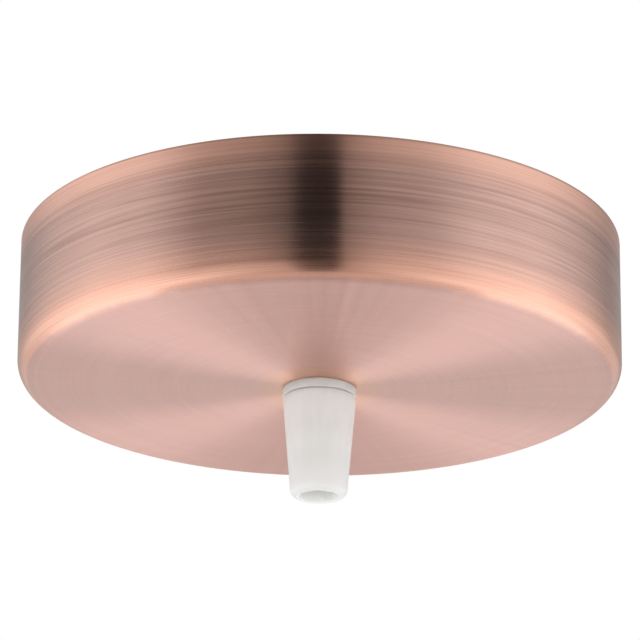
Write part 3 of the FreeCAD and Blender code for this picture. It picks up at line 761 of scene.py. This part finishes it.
def canopy_section(settings):
    """Half section of the pressing: outside from rim to hole, then inside back to the rim."""
    radius, height, crown, corner = in_mm(settings, "radius", "height", "crown", "corner")
    sheet, seat, hole, rim = in_mm(settings, "sheet", "seat", "hole", "rim")
    middle, edge = radius - corner, 0.12
    reach = middle - seat
    dome = (reach ** 2 + crown ** 2) / (2 * crown)

    def crowned(lift, steps=20):
        places = [seat + reach * step / steps for step in range(steps + 1)]
        foot = lift - height - crown + dome
        return [(place, foot - math.sqrt(dome ** 2 - (place - seat) ** 2)) for place in places]

    def swept(size, first, last, steps=14):
        angles = [math.radians(first + (last - first) * step / steps) for step in range(steps + 1)]
        level = corner - height
        return [(middle + size * math.cos(angle), level + size * math.sin(angle)) for angle in angles]

    drops = [(corner - height) * step / 10 for step in range(1, 10)]
    section = [(radius, 0.0, rim)] + [(radius, drop) for drop in drops]
    section += swept(corner, 0, -90)[:-1] + crowned(0.0)[::-1]
    section += [(hole, -height - crown, edge), (hole, sheet - height - crown, edge)]
    section += crowned(sheet)[:-1] + swept(corner - sheet, -90, 0)
    return section + [(radius - sheet, drop) for drop in drops[::-1]] + [(radius - sheet, 0.0, edge)]


class ROSE_OT_canopy(bpy.types.Operator):
    """Make the pressed canopy with its two side holes"""

    bl_idname = "rose.canopy"
    bl_label = "Canopy"

    def execute(self, context):
        settings = context.scene.rose_canopy
        outside, inside = brushed_copper(settings), plain_copper(settings)
        cup = turned("canopy_pressing", canopy_section(settings), settings.segments, outside)
        radius, hole, drop = in_mm(settings, "radius", "side_hole", "side_drop")
        drill = rod(hole, -radius - 1.0, radius + 1.0)
        cup = carved(cup, "DIFFERENCE", turned("drill", drill, 48, turn=shift(0.0, 0.0, -drop) @ AXIS_X))
        cup = finished(cup, "rose", ["canopy"], [outside, inside])
        # Faces that look at a point in the hollow are the plain inside; those at the rim stay brushed.
        heart = Vector((0.0, 0.0, -0.42 * settings.height))
        for face in cup.data.polygons:
            if face.normal.dot(heart - face.center) > 0 and face.center.z < -0.05 * MM:
                face.material_index = 1
        return {"FINISHED"}


def bend_ends(strap, flat, bend, sheet):
    """Bends a flat strap down past its flat stretch, at both ends, round the middle of the sheet."""
    neutral, steps = bend + sheet / 2, 12
    arc = neutral * math.pi / 2
    with Editing(strap.data) as bm:
        for way in (1, -1):
            for step in range(steps + 1):
                cut = way * (flat + arc * step / steps) * MM
                whole = bm.verts[:] + bm.edges[:] + bm.faces[:]
                bmesh.ops.bisect_plane(bm, geom=whole, plane_co=(cut, 0, 0), plane_no=(1, 0, 0), dist=1e-7)
        for vertex in bm.verts:
            way = 1.0 if vertex.co.x > 0 else -1.0
            run, rise = abs(vertex.co.x) / MM, vertex.co.z / MM - sheet / 2
            if run <= flat:
                x, z = run, rise - sheet / 2
            elif run <= flat + arc:
                angle = (run - flat) / neutral
                x = flat + (neutral + rise) * math.sin(angle)
                z = (neutral + rise) * math.cos(angle) - bend - sheet
            else:
                x, z = flat + neutral + rise, -bend - sheet - (run - flat - arc)
            vertex.co = (way * x * MM, vertex.co.y, z * MM)


def collar_section(wall, tall, sheet, way=1):
    """Half section of a tapped collar drawn out of the sheet, upwards or downwards."""
    bore, root, fillet = 2.05, 2.9, 0.35
    section = [(bore, 0.0, 0.15), (root, 0.0), (root, sheet - 0.3), (wall + fillet, sheet),
               (wall, sheet + fillet), (wall, sheet + tall, 0.25), (bore, sheet + tall, 0.2)]
    return [(radius, way * height, *rounding) for radius, height, *rounding in section]


class ROSE_OT_bracket(bpy.types.Operator):
    """Make the strap bracket with bent ends, ceiling slots and drawn collars"""

    bl_idname = "rose.bracket"
    bl_label = "Strap bracket"

    def execute(self, context):
        metals = context.scene.rose_metals
        width, sheet, bend, drop, edge = in_mm(
            metals, "bracket_width", "bracket_sheet", "bracket_bend", "bracket_drop", "edge")
        spacing, long, slot = in_mm(metals, "slot_spacing", "slot_length", "slot_radius")
        # A setting is kept in single precision; rounding gives back the value that was set.
        side_drop = round(context.scene.rose_canopy.side_drop / MM, 3)
        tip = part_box("mounting_bracket")[1][0] / MM
        flat = tip - bend - sheet
        full = flat + (bend + sheet / 2) * math.pi / 2 + drop - bend - sheet
        half, corner = width / 2, 4.0
        corners = [(-full, -half, corner), (full, -half, corner), (full, half, corner), (-full, half, corner)]
        entry, under_collar, clear_hole = 6.0, 2.6, 1.55
        earth, block_x, block_y = 14.0, -15.25, 4.75
        holes = [circle(0.0, 0.0, entry, 64), circle(earth, 0.0, under_collar, 40)]
        holes += [circle(block_x, y, clear_hole) for y in (block_y, -block_y)]
        for way in (1, -1):
            holes.append(stadium(way * spacing / 2, 0.0, long, slot))
            holes.append(circle(way * (full - (drop - side_drop)), 0.0, under_collar, 40))
        strap = plate("bracket_pressing", [contour(corners)] + holes, sheet, edge)
        bend_ends(strap, flat, bend, sheet)
        collars = []
        for way in (1, -1):
            turn = shift(way * tip, 0.0, -side_drop) @ Matrix.Rotation(math.radians(-90 * way), 4, "Y")
            collars.append(turned("side_collar", collar_section(3.25, 2.0, sheet), 64, turn=turn))
        below = collar_section(3.35, 1.5, sheet, -1)
        collars.append(turned("earth_collar", below, 64, turn=shift(earth, 0.0, 0.0)))
        strap = carved(strap, "UNION", *collars)
        zinc = metal("bright_zinc", metals.zinc, 0.3, 120.0, 2400.0, 0.12, True)
        finished(strap, "rose", ["mounting_bracket"], [zinc])
        return {"FINISHED"}


def grip_sections(ridge):
    """Half sections of the grip's body, split in the middle of its flange; the canopy's face is at 0."""
    bore, flange, neck, stud, chamfer = 3.1, 6.08, 4.6, 5.0, 0.35
    finger, root, tip, end = 3.9, -8.2, -15.1, 9.0
    seam = [(flange, -0.8), (bore, -0.8)]
    lower = [(bore, tip, 0.15), (3.4, tip, 0.12)]
    for step in range(4):
        place, out = -14.9 + 0.42 * step, 0.11 * step
        lower += [(3.45 + out, place), (3.47 + out - ridge, place + 0.21)]
    lower += [(finger, -13.2, 0.15), (finger, root), (neck - chamfer, root)]
    lower += [(neck, root + chamfer, 0.0, True), (neck, -1.6), (flange, -1.6, 0.3)] + seam
    upper = [(bore, end, 0.2)] + seam[::-1]
    upper += [(flange, 0.0, 0.3), (4.7, 0.0), (stud, 0.3, 0.0, True), (stud, 8.5), (4.5, end, 0.15)]
    return lower, upper


def threaded_grip(grip, face, plastic):
    """Grip body with two threads: the neck's and, above the flange, the finer one of the stud."""
    lower, upper = grip_sections(grip.ridge / MM)
    neck = turned("grip_body_moulding", lower, 144, plastic, *thread(grip, "cap"), face)
    stud = turned("stud", upper, 144, plastic, *thread(grip, "stud"), face)
    seam = (face - 0.8) * MM
    with Editing(neck.data) as bm:
        bm.from_mesh(stud.data)
        inner = [f for f in bm.faces if all(abs(v.co.z - seam) < 0.0001 * MM for v in f.verts)]
        bmesh.ops.delete(bm, geom=inner, context="FACES")
        bmesh.ops.remove_doubles(bm, verts=bm.verts, dist=WELD)
    discard(stud)
    return neck


class ROSE_OT_cord_grip(bpy.types.Operator):
    """Make the cord grip: stud, flange and collet in one moulding, and the cap that closes it"""

    bl_idname = "rose.cord_grip"
    bl_label = "Cord grip"

    def execute(self, context):
        grip = context.scene.rose_grip
        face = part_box("canopy")[0][2] / MM
        low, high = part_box("grip_cap")
        clear = frosted_plastic("clear_plastic", grip, 0.25)
        # Painted shade on the cap starts 10 mm above its end and is full 1 mm above it.
        milky = frosted_plastic("milky_plastic", grip, 0.1, (low[2] + 10.0 * MM, low[2] + 1.0 * MM))
        body = threaded_grip(grip, face, clear)
        reach, half, depth, root = 8.0, grip.slit / MM / 2, 17.0, 8.2
        cuts = []
        for step in range(grip.fingers):
            blade = block("slit", (-reach, -half, face - depth), (reach, half, face - root))
            cuts.append(moved(blade, Matrix.Rotation(math.pi * step / grip.fingers, 4, "Z")))
        body = carved(body, "DIFFERENCE", *cuts)
        finished(body, "rose", ["grip_body"], [clear], 40.0)

        rim, inside, throat, mouth, tip, end = 6.05, 4.65, 4.15, 3.2, 4.62, -17.0
        section = [(rim, 0.0, 0.25), (inside + 0.3, 0.0), (inside, -0.3, 0.0, True), (inside, -6.85)]
        section += [(throat, -6.85, 0.15), (throat, -11.45), (mouth, -14.65), (mouth, end, 0.2)]
        section.append((tip, end, 1.3))
        cap = turned("grip_cap_moulding", section, 160, milky, *thread(grip, "cap"), high[2] / MM)
        finished(cap, "grip_cap", ["grip_cap"], [milky], 40.0)
        return {"FINISHED"}


def make_nut(metals, grip):
    """Hexagon nut: a tapped turning with conical corners, cut to its six sides."""
    zinc = metal("bright_zinc_nut", metals.zinc, 0.28, 260.0, 2400.0)
    base, _, thick = span("grip_nut", 2)
    flats = metals.nut_flats / MM / 2
    reach = flats / math.cos(math.pi / 6)
    land, past, bore, lead = 0.96 * flats, 0.2, 5.05, 0.25
    rise = (reach - land + past) / math.sqrt(3)
    section = [(bore + lead, 0.0), (land, 0.0, 0.1), (reach + past, rise), (reach + past, thick - rise),
               (land, thick, 0.1), (bore + lead, thick), (bore, thick - lead, 0.0, True), (bore, lead)]
    nut = turned("hexagon_nut", section, 96, zinc, *thread(grip, "stud"), base)
    angles = [math.pi / 3 * step for step in range(6)]
    sides = contour([(reach * math.sin(angle), reach * math.cos(angle), 0.25) for angle in angles])
    prism = plate("hexagon", [sides[::-1]], thick + 2.0, 0.01, shift(0.0, 0.0, base - 1.0))
    finished(carved(nut, "INTERSECT", prism), "rose", ["grip_nut"], [zinc])


def make_washer(metals):
    """Toothed lock washer: a ring with teeth that twist about their own length."""
    spring = metal("spring_steel", metals.spring, 0.34, 300.0, 2600.0)
    base, middle, thick = span("lock_washer", 2)
    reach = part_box("lock_washer")[1][0] / MM
    sheet, bore, outside, edge = 0.5, 5.2, 6.15, 0.08
    low, high = (thick - sheet) / 2, (thick + sheet) / 2
    section = [(bore, low, edge), (outside, low, edge), (outside, high, edge), (bore, high, edge)]
    ring = turned("toothed_washer", section, 96, spring, drop=base)
    long, twist = 1.35, math.radians(11.0)
    tooth = plate("tooth", [[(0.0, -0.95), (long, -0.85), (long, 0.85), (0.0, 0.95)]], sheet, 0.06)
    for vertex in tooth.data.vertices:
        along, y, z = vertex.co.x / MM / long, vertex.co.y, vertex.co.z - sheet / 2 * MM
        angle = twist * min(1.0, max(0.0, along))
        vertex.co.y = y * math.cos(angle) - z * math.sin(angle)
        vertex.co.z = y * math.sin(angle) + z * math.cos(angle)
    moved(tooth, shift(reach - long - 0.03, 0.0, middle))
    teeth = with_tree(tooth, ring_tree(), {"Count": metals.washer_teeth, "Material": spring})
    finished(carved(ring, "UNION", teeth), "rose", ["lock_washer"], [spring])


class ROSE_OT_nut_and_washer(bpy.types.Operator):
    """Make the nut and the toothed washer that hold the cord grip"""

    bl_idname = "rose.nut_and_washer"
    bl_label = "Nut and washer"

    def execute(self, context):
        make_nut(context.scene.rose_metals, context.scene.rose_grip)
        make_washer(context.scene.rose_metals)
        return {"FINISHED"}


class ROSE_OT_side_screws(bpy.types.Operator):
    """Make the two socket screws that hold the canopy to the bracket"""

    bl_idname = "rose.side_screws"
    bl_label = "Side screws"

    def execute(self, context):
        metals, sizes = context.scene.rose_metals, context.scene.rose_terminals
        steel = metal("socket_screw_steel", metals.screw, 0.3, 400.0, 3000.0)
        reach, angles = 1.0 / math.cos(math.pi / 6), [math.pi / 3 * step for step in range(6)]
        key = [(reach * math.cos(angle), reach * math.sin(angle)) for angle in angles]
        for side, way in (("left", -1), ("right", 1)):
            name = f"side_screw_{side}"
            _, middle, long = span(name, 0)
            section = grub_section(2.0, long)
            shank = turned(f"socket_screw_{side}", section, 48, steel, *thread(sizes, "large"))
            shank = carved(shank, "DIFFERENCE", plate("socket", [key], 2.5, 0.01, shift(0.0, 0.0, -2.0)))
            place = shift(middle + way * long / 2, 0.0, span(name, 2)[1])
            moved(shank, place @ Matrix.Rotation(math.radians(90 * way), 4, "Y"))
            finished(shank, name, [name], [steel])
        return {"FINISHED"}


def pole_places(sizes):
    """Y of the three poles and X of the two screws of a pole, from the block's middle."""
    pitch, spacing = in_mm(sizes, "pole_pitch", "screw_spacing")
    return (-pitch, 0.0, pitch), (spacing / 2, -spacing / 2)


def block_outline(half, side, pitch):
    """Base of the block, with a groove between neighbouring poles at both ends."""
    corner, groove, depth = 1.5, 0.7, 4.0
    corners = []
    for way in (1, -1):
        corners.append((way * half, -way * side, corner))
        for gap in (-way * pitch / 2, way * pitch / 2):
            for edge in (-way, way):
                mouth = (way * half, gap + edge * groove, 0.4)
                root = (way * (half - depth), gap + edge * groove, 0.6)
                corners += [mouth, root] if edge == -way else [root, mouth]
        corners.append((way * half, way * side, corner))
    return contour(corners)


def make_block_body(sizes, x):
    """Moulded body: a grooved base with two screw towers on each pole's bore."""
    half, side = span("terminal_block_body", 0)[2] / 2, span("terminal_block_body", 1)[2] / 2
    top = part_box("terminal_block_body")[1][2] / MM
    poles, ends = pole_places(sizes)
    pitch = poles[2]
    tall, bore_drop, tower_drop, mouth_drop = 8.2, 4.6, 7.0, 12.0
    holes = [circle(0.0, gap, 1.7) for gap in (-pitch / 2, pitch / 2)]
    outlines = [block_outline(half, side, pitch)] + holes
    base = plate("terminal_block_moulding", outlines, tall, 0.3, shift(0.0, 0.0, -tall))
    tower = [(0.0, -tower_drop), (3.3, -tower_drop), (3.3, -mouth_drop, 0.4), (0.0, -mouth_drop)]
    well = [(0.0, -bore_drop), (1.9, -bore_drop), (1.9, 0.25 - mouth_drop), (2.3, -mouth_drop - 0.15),
            (0.0, -mouth_drop - 0.15)]
    bore = bore_section(2.65, 3.1, half, 0.3, 0.3)
    spots = [shift(end, y, 0.0) for y in poles for end in ends]
    towers = joined("towers", [turned("tower", tower, 56, turn=spot) for spot in spots])
    wells = joined("wells", [turned("well", well, 40, turn=spot) for spot in spots])
    lines = [shift(0.0, y, -bore_drop) @ AXIS_X for y in poles]
    bores = joined("bores", [turned("bore", bore, 56, turn=line) for line in lines])
    base = carved(base, "UNION", towers)
    base = carved(base, "DIFFERENCE", bores)
    base = carved(base, "DIFFERENCE", wells)
    moved(base, shift(x, 0.0, top))
    finished(base, "rose", ["terminal_block_body"], [moulded_nylon(sizes)], 38.0)


def make_tubes(sizes, x):
    """Brass tubes, each with a flared bore above its axis and two screw holes from below."""
    brass = metal("turned_brass", sizes.brass, 0.28, 500.0, 3000.0)
    poles, ends = pole_places(sizes)
    outside, bore_rise = 2.6, 0.5
    for wire, y in zip(WIRES, poles):
        name = f"terminal_tube_{wire}"
        half = span(name, 0)[2] / 2
        section = [(0.0, -half), (outside, -half, 0.25), (outside, half, 0.25), (0.0, half)]
        tube = turned(f"brass_tube_{wire}", section, 72, brass, turn=AXIS_X)
        bore = bore_section(1.6, 1.95, half, 0.2, 0.15)
        bore = turned("bore", bore, 56, turn=shift(0.0, 0.0, bore_rise) @ AXIS_X)
        drills = [turned("drill", rod(1.55, -3.0, 0.0), 40, turn=shift(end, 0.0, 0.0)) for end in ends]
        tube = carved(tube, "DIFFERENCE", bore, joined("drills", drills))
        moved(tube, shift(x, y, span(name, 2)[1]))
        finished(tube, "rose", [name], [brass])


class ROSE_OT_terminal_block(bpy.types.Operator):
    """Make the three-pole block and its brass tubes"""

    bl_idname = "rose.terminal_block"
    bl_label = "Terminal block"

    def execute(self, context):
        sizes = context.scene.rose_terminals
        x = span("terminal_block_body", 0)[1]
        make_block_body(sizes, x)
        make_tubes(sizes, x)
        return {"FINISHED"}


class ROSE_OT_block_screws(bpy.types.Operator):
    """Make the screws of the terminal block: six clamping screws and two that hold the block"""

    bl_idname = "rose.block_screws"
    bl_label = "Block screws"

    def execute(self, context):
        metals, sizes = context.scene.rose_metals, context.scene.rose_terminals
        steel = metal("terminal_screw_steel", metals.screw, 0.32, 420.0, 3000.0)
        small = thread(sizes, "small")
        for name in [f"terminal_screw_{wire}_{side}" for wire in WIRES for side in ("left", "right")]:
            base, _, long = span(name, 2)
            screw = turned(f"{name}_turning", grub_section(1.5, long), 36, steel, *small)
            screw = carved(screw, "DIFFERENCE", screw_slot(3.0, 0.3, -0.9, 1.0))
            moved(screw, shift(span(name, 0)[1], span(name, 1)[1], base) @ UPSIDE_DOWN)
            finished(screw, name, [name], [steel])
        head, tall, bare = 2.75, 1.8, 5.5
        for name in ("block_screw_front", "block_screw_back"):
            base, _, long = span(name, 2)
            section = headed_section(1.5, long - tall, head, tall, 0.5, bare)
            screw = turned(f"{name}_turning", section, 56, steel, *small)
            screw = carved(screw, "DIFFERENCE", screw_slot(3.5, 0.4, -tall - 1.0, 0.9 - tall))
            moved(screw, shift(span(name, 0)[1], span(name, 1)[1], base + tall))
            finished(screw, "rose", [name], [steel])
        return {"FINISHED"}


class ROSE_OT_earth_terminal(bpy.types.Operator):
    """Make the bracket's earth screw and its clamp washer"""

    bl_idname = "rose.earth_terminal"
    bl_label = "Earth terminal"

    def execute(self, context):
        sizes = context.scene.rose_terminals
        brass = metal("earth_brass", sizes.brass, 0.3, 420.0, 3000.0)
        base, _, long = span("earth_screw", 2)
        head, tall, bare = 4.0, 2.4, 0.4
        section = headed_section(2.0, long - tall, head, tall, 1.0, bare)
        screw = turned("earth_screw_turning", section, 64, brass, *thread(sizes, "large"))
        screw = carved(screw, "DIFFERENCE", screw_slot(5.0, 0.5, -tall - 1.0, 1.2 - tall))
        moved(screw, shift(span("earth_screw", 0)[1], 0.0, base + tall))
        finished(screw, "earth_clamp", ["earth_screw"], [brass])

        _, x, _ = span("earth_clamp_washer", 0)
        half, base = span("earth_clamp_washer", 1)[2] / 2, span("earth_clamp_washer", 2)[0]
        lip, tall, floor = 0.8, 2.0, 1.0
        channel = [(-half, 0.0, 0.5), (half, 0.0, 0.5), (half, tall), (half - lip, tall),
                   (half - lip, floor, 0.2), (lip - half, floor, 0.2), (lip - half, tall), (-half, tall)]
        stand = Matrix(((0, 0, 1, 0), (1, 0, 0, 0), (0, 1, 0, 0), (0, 0, 0, 1)))
        clamp = plate("clamp_washer", [contour(channel)], 2 * half, 0.12, shift(x - half, 0.0, base) @ stand)
        drill = turned("drill", rod(2.2, -1.0, 3.0), 48, drop=base, turn=shift(x, 0.0, 0.0))
        clamp = carved(clamp, "DIFFERENCE", drill)
        finished(clamp, "earth_clamp", ["earth_clamp_washer"], [brass])
        return {"FINISHED"}


def studio_world():
    """White to the camera; a softly uneven white studio with one dark gap for the metal to show."""
    world = bpy.data.worlds.new("studio")
    world.use_nodes = True
    world.node_tree.nodes.clear()
    nodes = Nodes(world.node_tree)
    x, y, z = nodes.separate(nodes.add("ShaderNodeTexCoord").outputs["Generated"])
    bearing = nodes.math("ARCTAN2", x, nodes.times(y, -1.0))
    turn = nodes.plus(nodes.over(bearing, math.tau), 0.5)

    def belt(*levels):
        """Brightness round the studio, by degrees to the right of the camera."""
        return nodes.ramp(turn, [(angle / 360 + 0.5, float(level)) for angle, level in levels])

    level = belt(
        (-180, 0.42), (-150, 0.46), (-120, 0.9), (-94, 1.1), (-69, 0.94), (-47, 0.42), (-27, 0.32),
        (-13, 0.15), (-8, 0.01), (7.6, 0.01), (8.6, 0.29), (12, 0.34), (23, 0.52), (43, 0.66), (64, 1.06),
        (89, 1.22), (113, 0.88), (138, 0.42), (180, 0.42))
    middle = belt(
        (-180, 0.72), (-150, 0.68), (-120, 1.1), (-94, 1.22), (-69, 1.1), (-47, 0.7), (-27, 0.6), (-13, 0.5),
        (-8, 0.2), (-3, 0.12), (6, 0.1), (9, 0.4), (12, 0.5), (23, 0.68), (43, 0.82), (64, 1.06), (89, 1.25),
        (113, 1.02), (138, 0.7), (180, 0.72))
    low = belt(
        (-180, 1.0), (-165, 1.15), (-145, 1.55), (-110, 1.4), (-60, 1.1), (-27, 0.65), (-13, 0.5), (-6, 0.16),
        (5, 0.12), (10, 0.4), (27, 0.65), (60, 1.1), (110, 1.4), (145, 1.55), (165, 1.15), (180, 1.0))
    level = nodes.mix(nodes.fade(z, 0.2, -0.1), level, middle)
    level = nodes.mix(nodes.fade(z, -0.38, -0.58), level, low)
    level = nodes.mix(nodes.fade(z, -0.88, -0.99), level, NADIR)
    red = nodes.separate(level)[0]
    green = nodes.times(red, nodes.fade(red, 0.1, 1.1, 0.96, 1.06))
    blue = nodes.times(red, nodes.fade(red, 0.1, 1.1, 0.93, 1.09))
    lit = nodes.minus(nodes.fade(z, -0.9, -0.1, 0.82, 1.52), nodes.fade(z, 0.0, 0.35, 0.0, 0.47))
    path, mirrored = nodes.rays()
    plain = nodes.mix(path["Is Camera Ray"], nodes.grey(lit), WHITE)
    shown = nodes.mix(mirrored, plain, nodes.combine(red, green, blue))
    background = nodes.add("ShaderNodeBackground", {"Color": shown, "Strength": 1.0})
    output = nodes.add("ShaderNodeOutputWorld", {"Surface": background.outputs[0]})
    output.is_active_output = True
    return world


def pale_floor(studio):
    """Matt floor that looks white to the camera, and grey where metal mirrors it."""
    material, nodes, output = new_material("pale_floor")
    matt = nodes.add("ShaderNodeBsdfDiffuse", {"Color": opaque(studio.floor_colour)}).outputs[0]
    path, mirrored = nodes.rays()
    glow = nodes.add("ShaderNodeEmission", {"Color": nodes.mix(mirrored, WHITE, NADIR)}).outputs[0]
    seen = nodes.math("MAXIMUM", path["Is Glossy Ray"], path["Is Transmission Ray"])
    seen = nodes.math("MAXIMUM", path["Is Camera Ray"], seen)
    mixed = nodes.add("ShaderNodeMixShader", {0: seen, 1: matt, 2: glow}).outputs[0]
    nodes.feed(output.inputs["Surface"], mixed)
    return material


class ROSE_OT_stage(bpy.types.Operator):
    """Set up the studio: pale floor, soft white surroundings and the camera"""

    bl_idname = "rose.stage"
    bl_label = "Studio"

    def execute(self, context):
        scene, studio = context.scene, context.scene.rose_studio
        scene.view_settings.view_transform = "Standard"
        scene.world = studio_world()
        mesh = bpy.data.meshes.new("floor")
        with Editing(mesh) as bm:
            bmesh.ops.create_circle(bm, cap_ends=True, segments=96, radius=studio.floor_radius)
            bmesh.ops.translate(bm, verts=bm.verts, vec=(0.0, 0.0, -studio.floor_drop))
        floor = new_object("studio_floor", mesh)
        mesh.materials.append(pale_floor(studio))

        camera = bpy.data.cameras.new("camera")
        camera.lens = studio.lens
        camera.clip_start = 10.0 * MM
        camera.dof.use_dof = False
        eye = new_object("camera", camera)
        aim = Vector((0.0, 0.0, -studio.aim))
        back = Vector((0.0, -math.cos(studio.rise), math.sin(studio.rise)))
        look = (-back).to_track_quat("-Z", "Y").to_matrix().to_4x4()
        roll = Matrix.Rotation(studio.roll, 4, "Z")
        eye.matrix_world = Matrix.Translation(aim + back * studio.distance) @ look @ roll
        scene.camera = eye
        return {"FINISHED"}


class ROSE_PT_panel(bpy.types.Panel):
    """Sizes, colours and build steps of the ceiling rose"""

    bl_idname = "ROSE_PT_panel"
    bl_label = "Ceiling Rose"
    bl_space_type = "VIEW_3D"
    bl_region_type = "UI"
    bl_category = "Rose"

    def draw(self, context):
        for title, attribute, group, operators in SECTIONS:
            box = self.layout.box()
            box.label(text=title)
            settings = getattr(context.scene, attribute)
            for name in group.__annotations__:
                box.prop(settings, name)
            for operator in operators:
                box.operator(operator.bl_idname)


SECTIONS = (
    ("Studio", "rose_studio", RoseStudioSettings, (ROSE_OT_stage,)),
    ("Canopy", "rose_canopy", RoseCanopySettings, (ROSE_OT_canopy,)),
    ("Cord grip", "rose_grip", RoseGripSettings, (ROSE_OT_cord_grip,)),
    ("Metalwork", "rose_metals", RoseMetalSettings,
     (ROSE_OT_bracket, ROSE_OT_nut_and_washer, ROSE_OT_side_screws)),
    ("Terminals", "rose_terminals", RoseTerminalSettings,
     (ROSE_OT_terminal_block, ROSE_OT_block_screws, ROSE_OT_earth_terminal)),
)


def register():
    for _, attribute, group, operators in SECTIONS:
        bpy.utils.register_class(group)
        setattr(bpy.types.Scene, attribute, PointerProperty(type=group))
        for operator in operators:
            bpy.utils.register_class(operator)
    bpy.utils.register_class(ROSE_PT_panel)


def unregister():
    bpy.utils.unregister_class(ROSE_PT_panel)
    for _, attribute, group, operators in reversed(SECTIONS):
        for operator in operators:
            bpy.utils.unregister_class(operator)
        delattr(bpy.types.Scene, attribute)
        bpy.utils.unregister_class(group)


def main():
    register()
    rose = bpy.ops.rose
    rose.stage()
    rose.canopy()
    rose.cord_grip()
    rose.bracket()
    rose.nut_and_washer()
    rose.side_screws()
    rose.terminal_block()
    rose.block_screws()
    rose.earth_terminal()


if __name__ == "__main__":
    main()
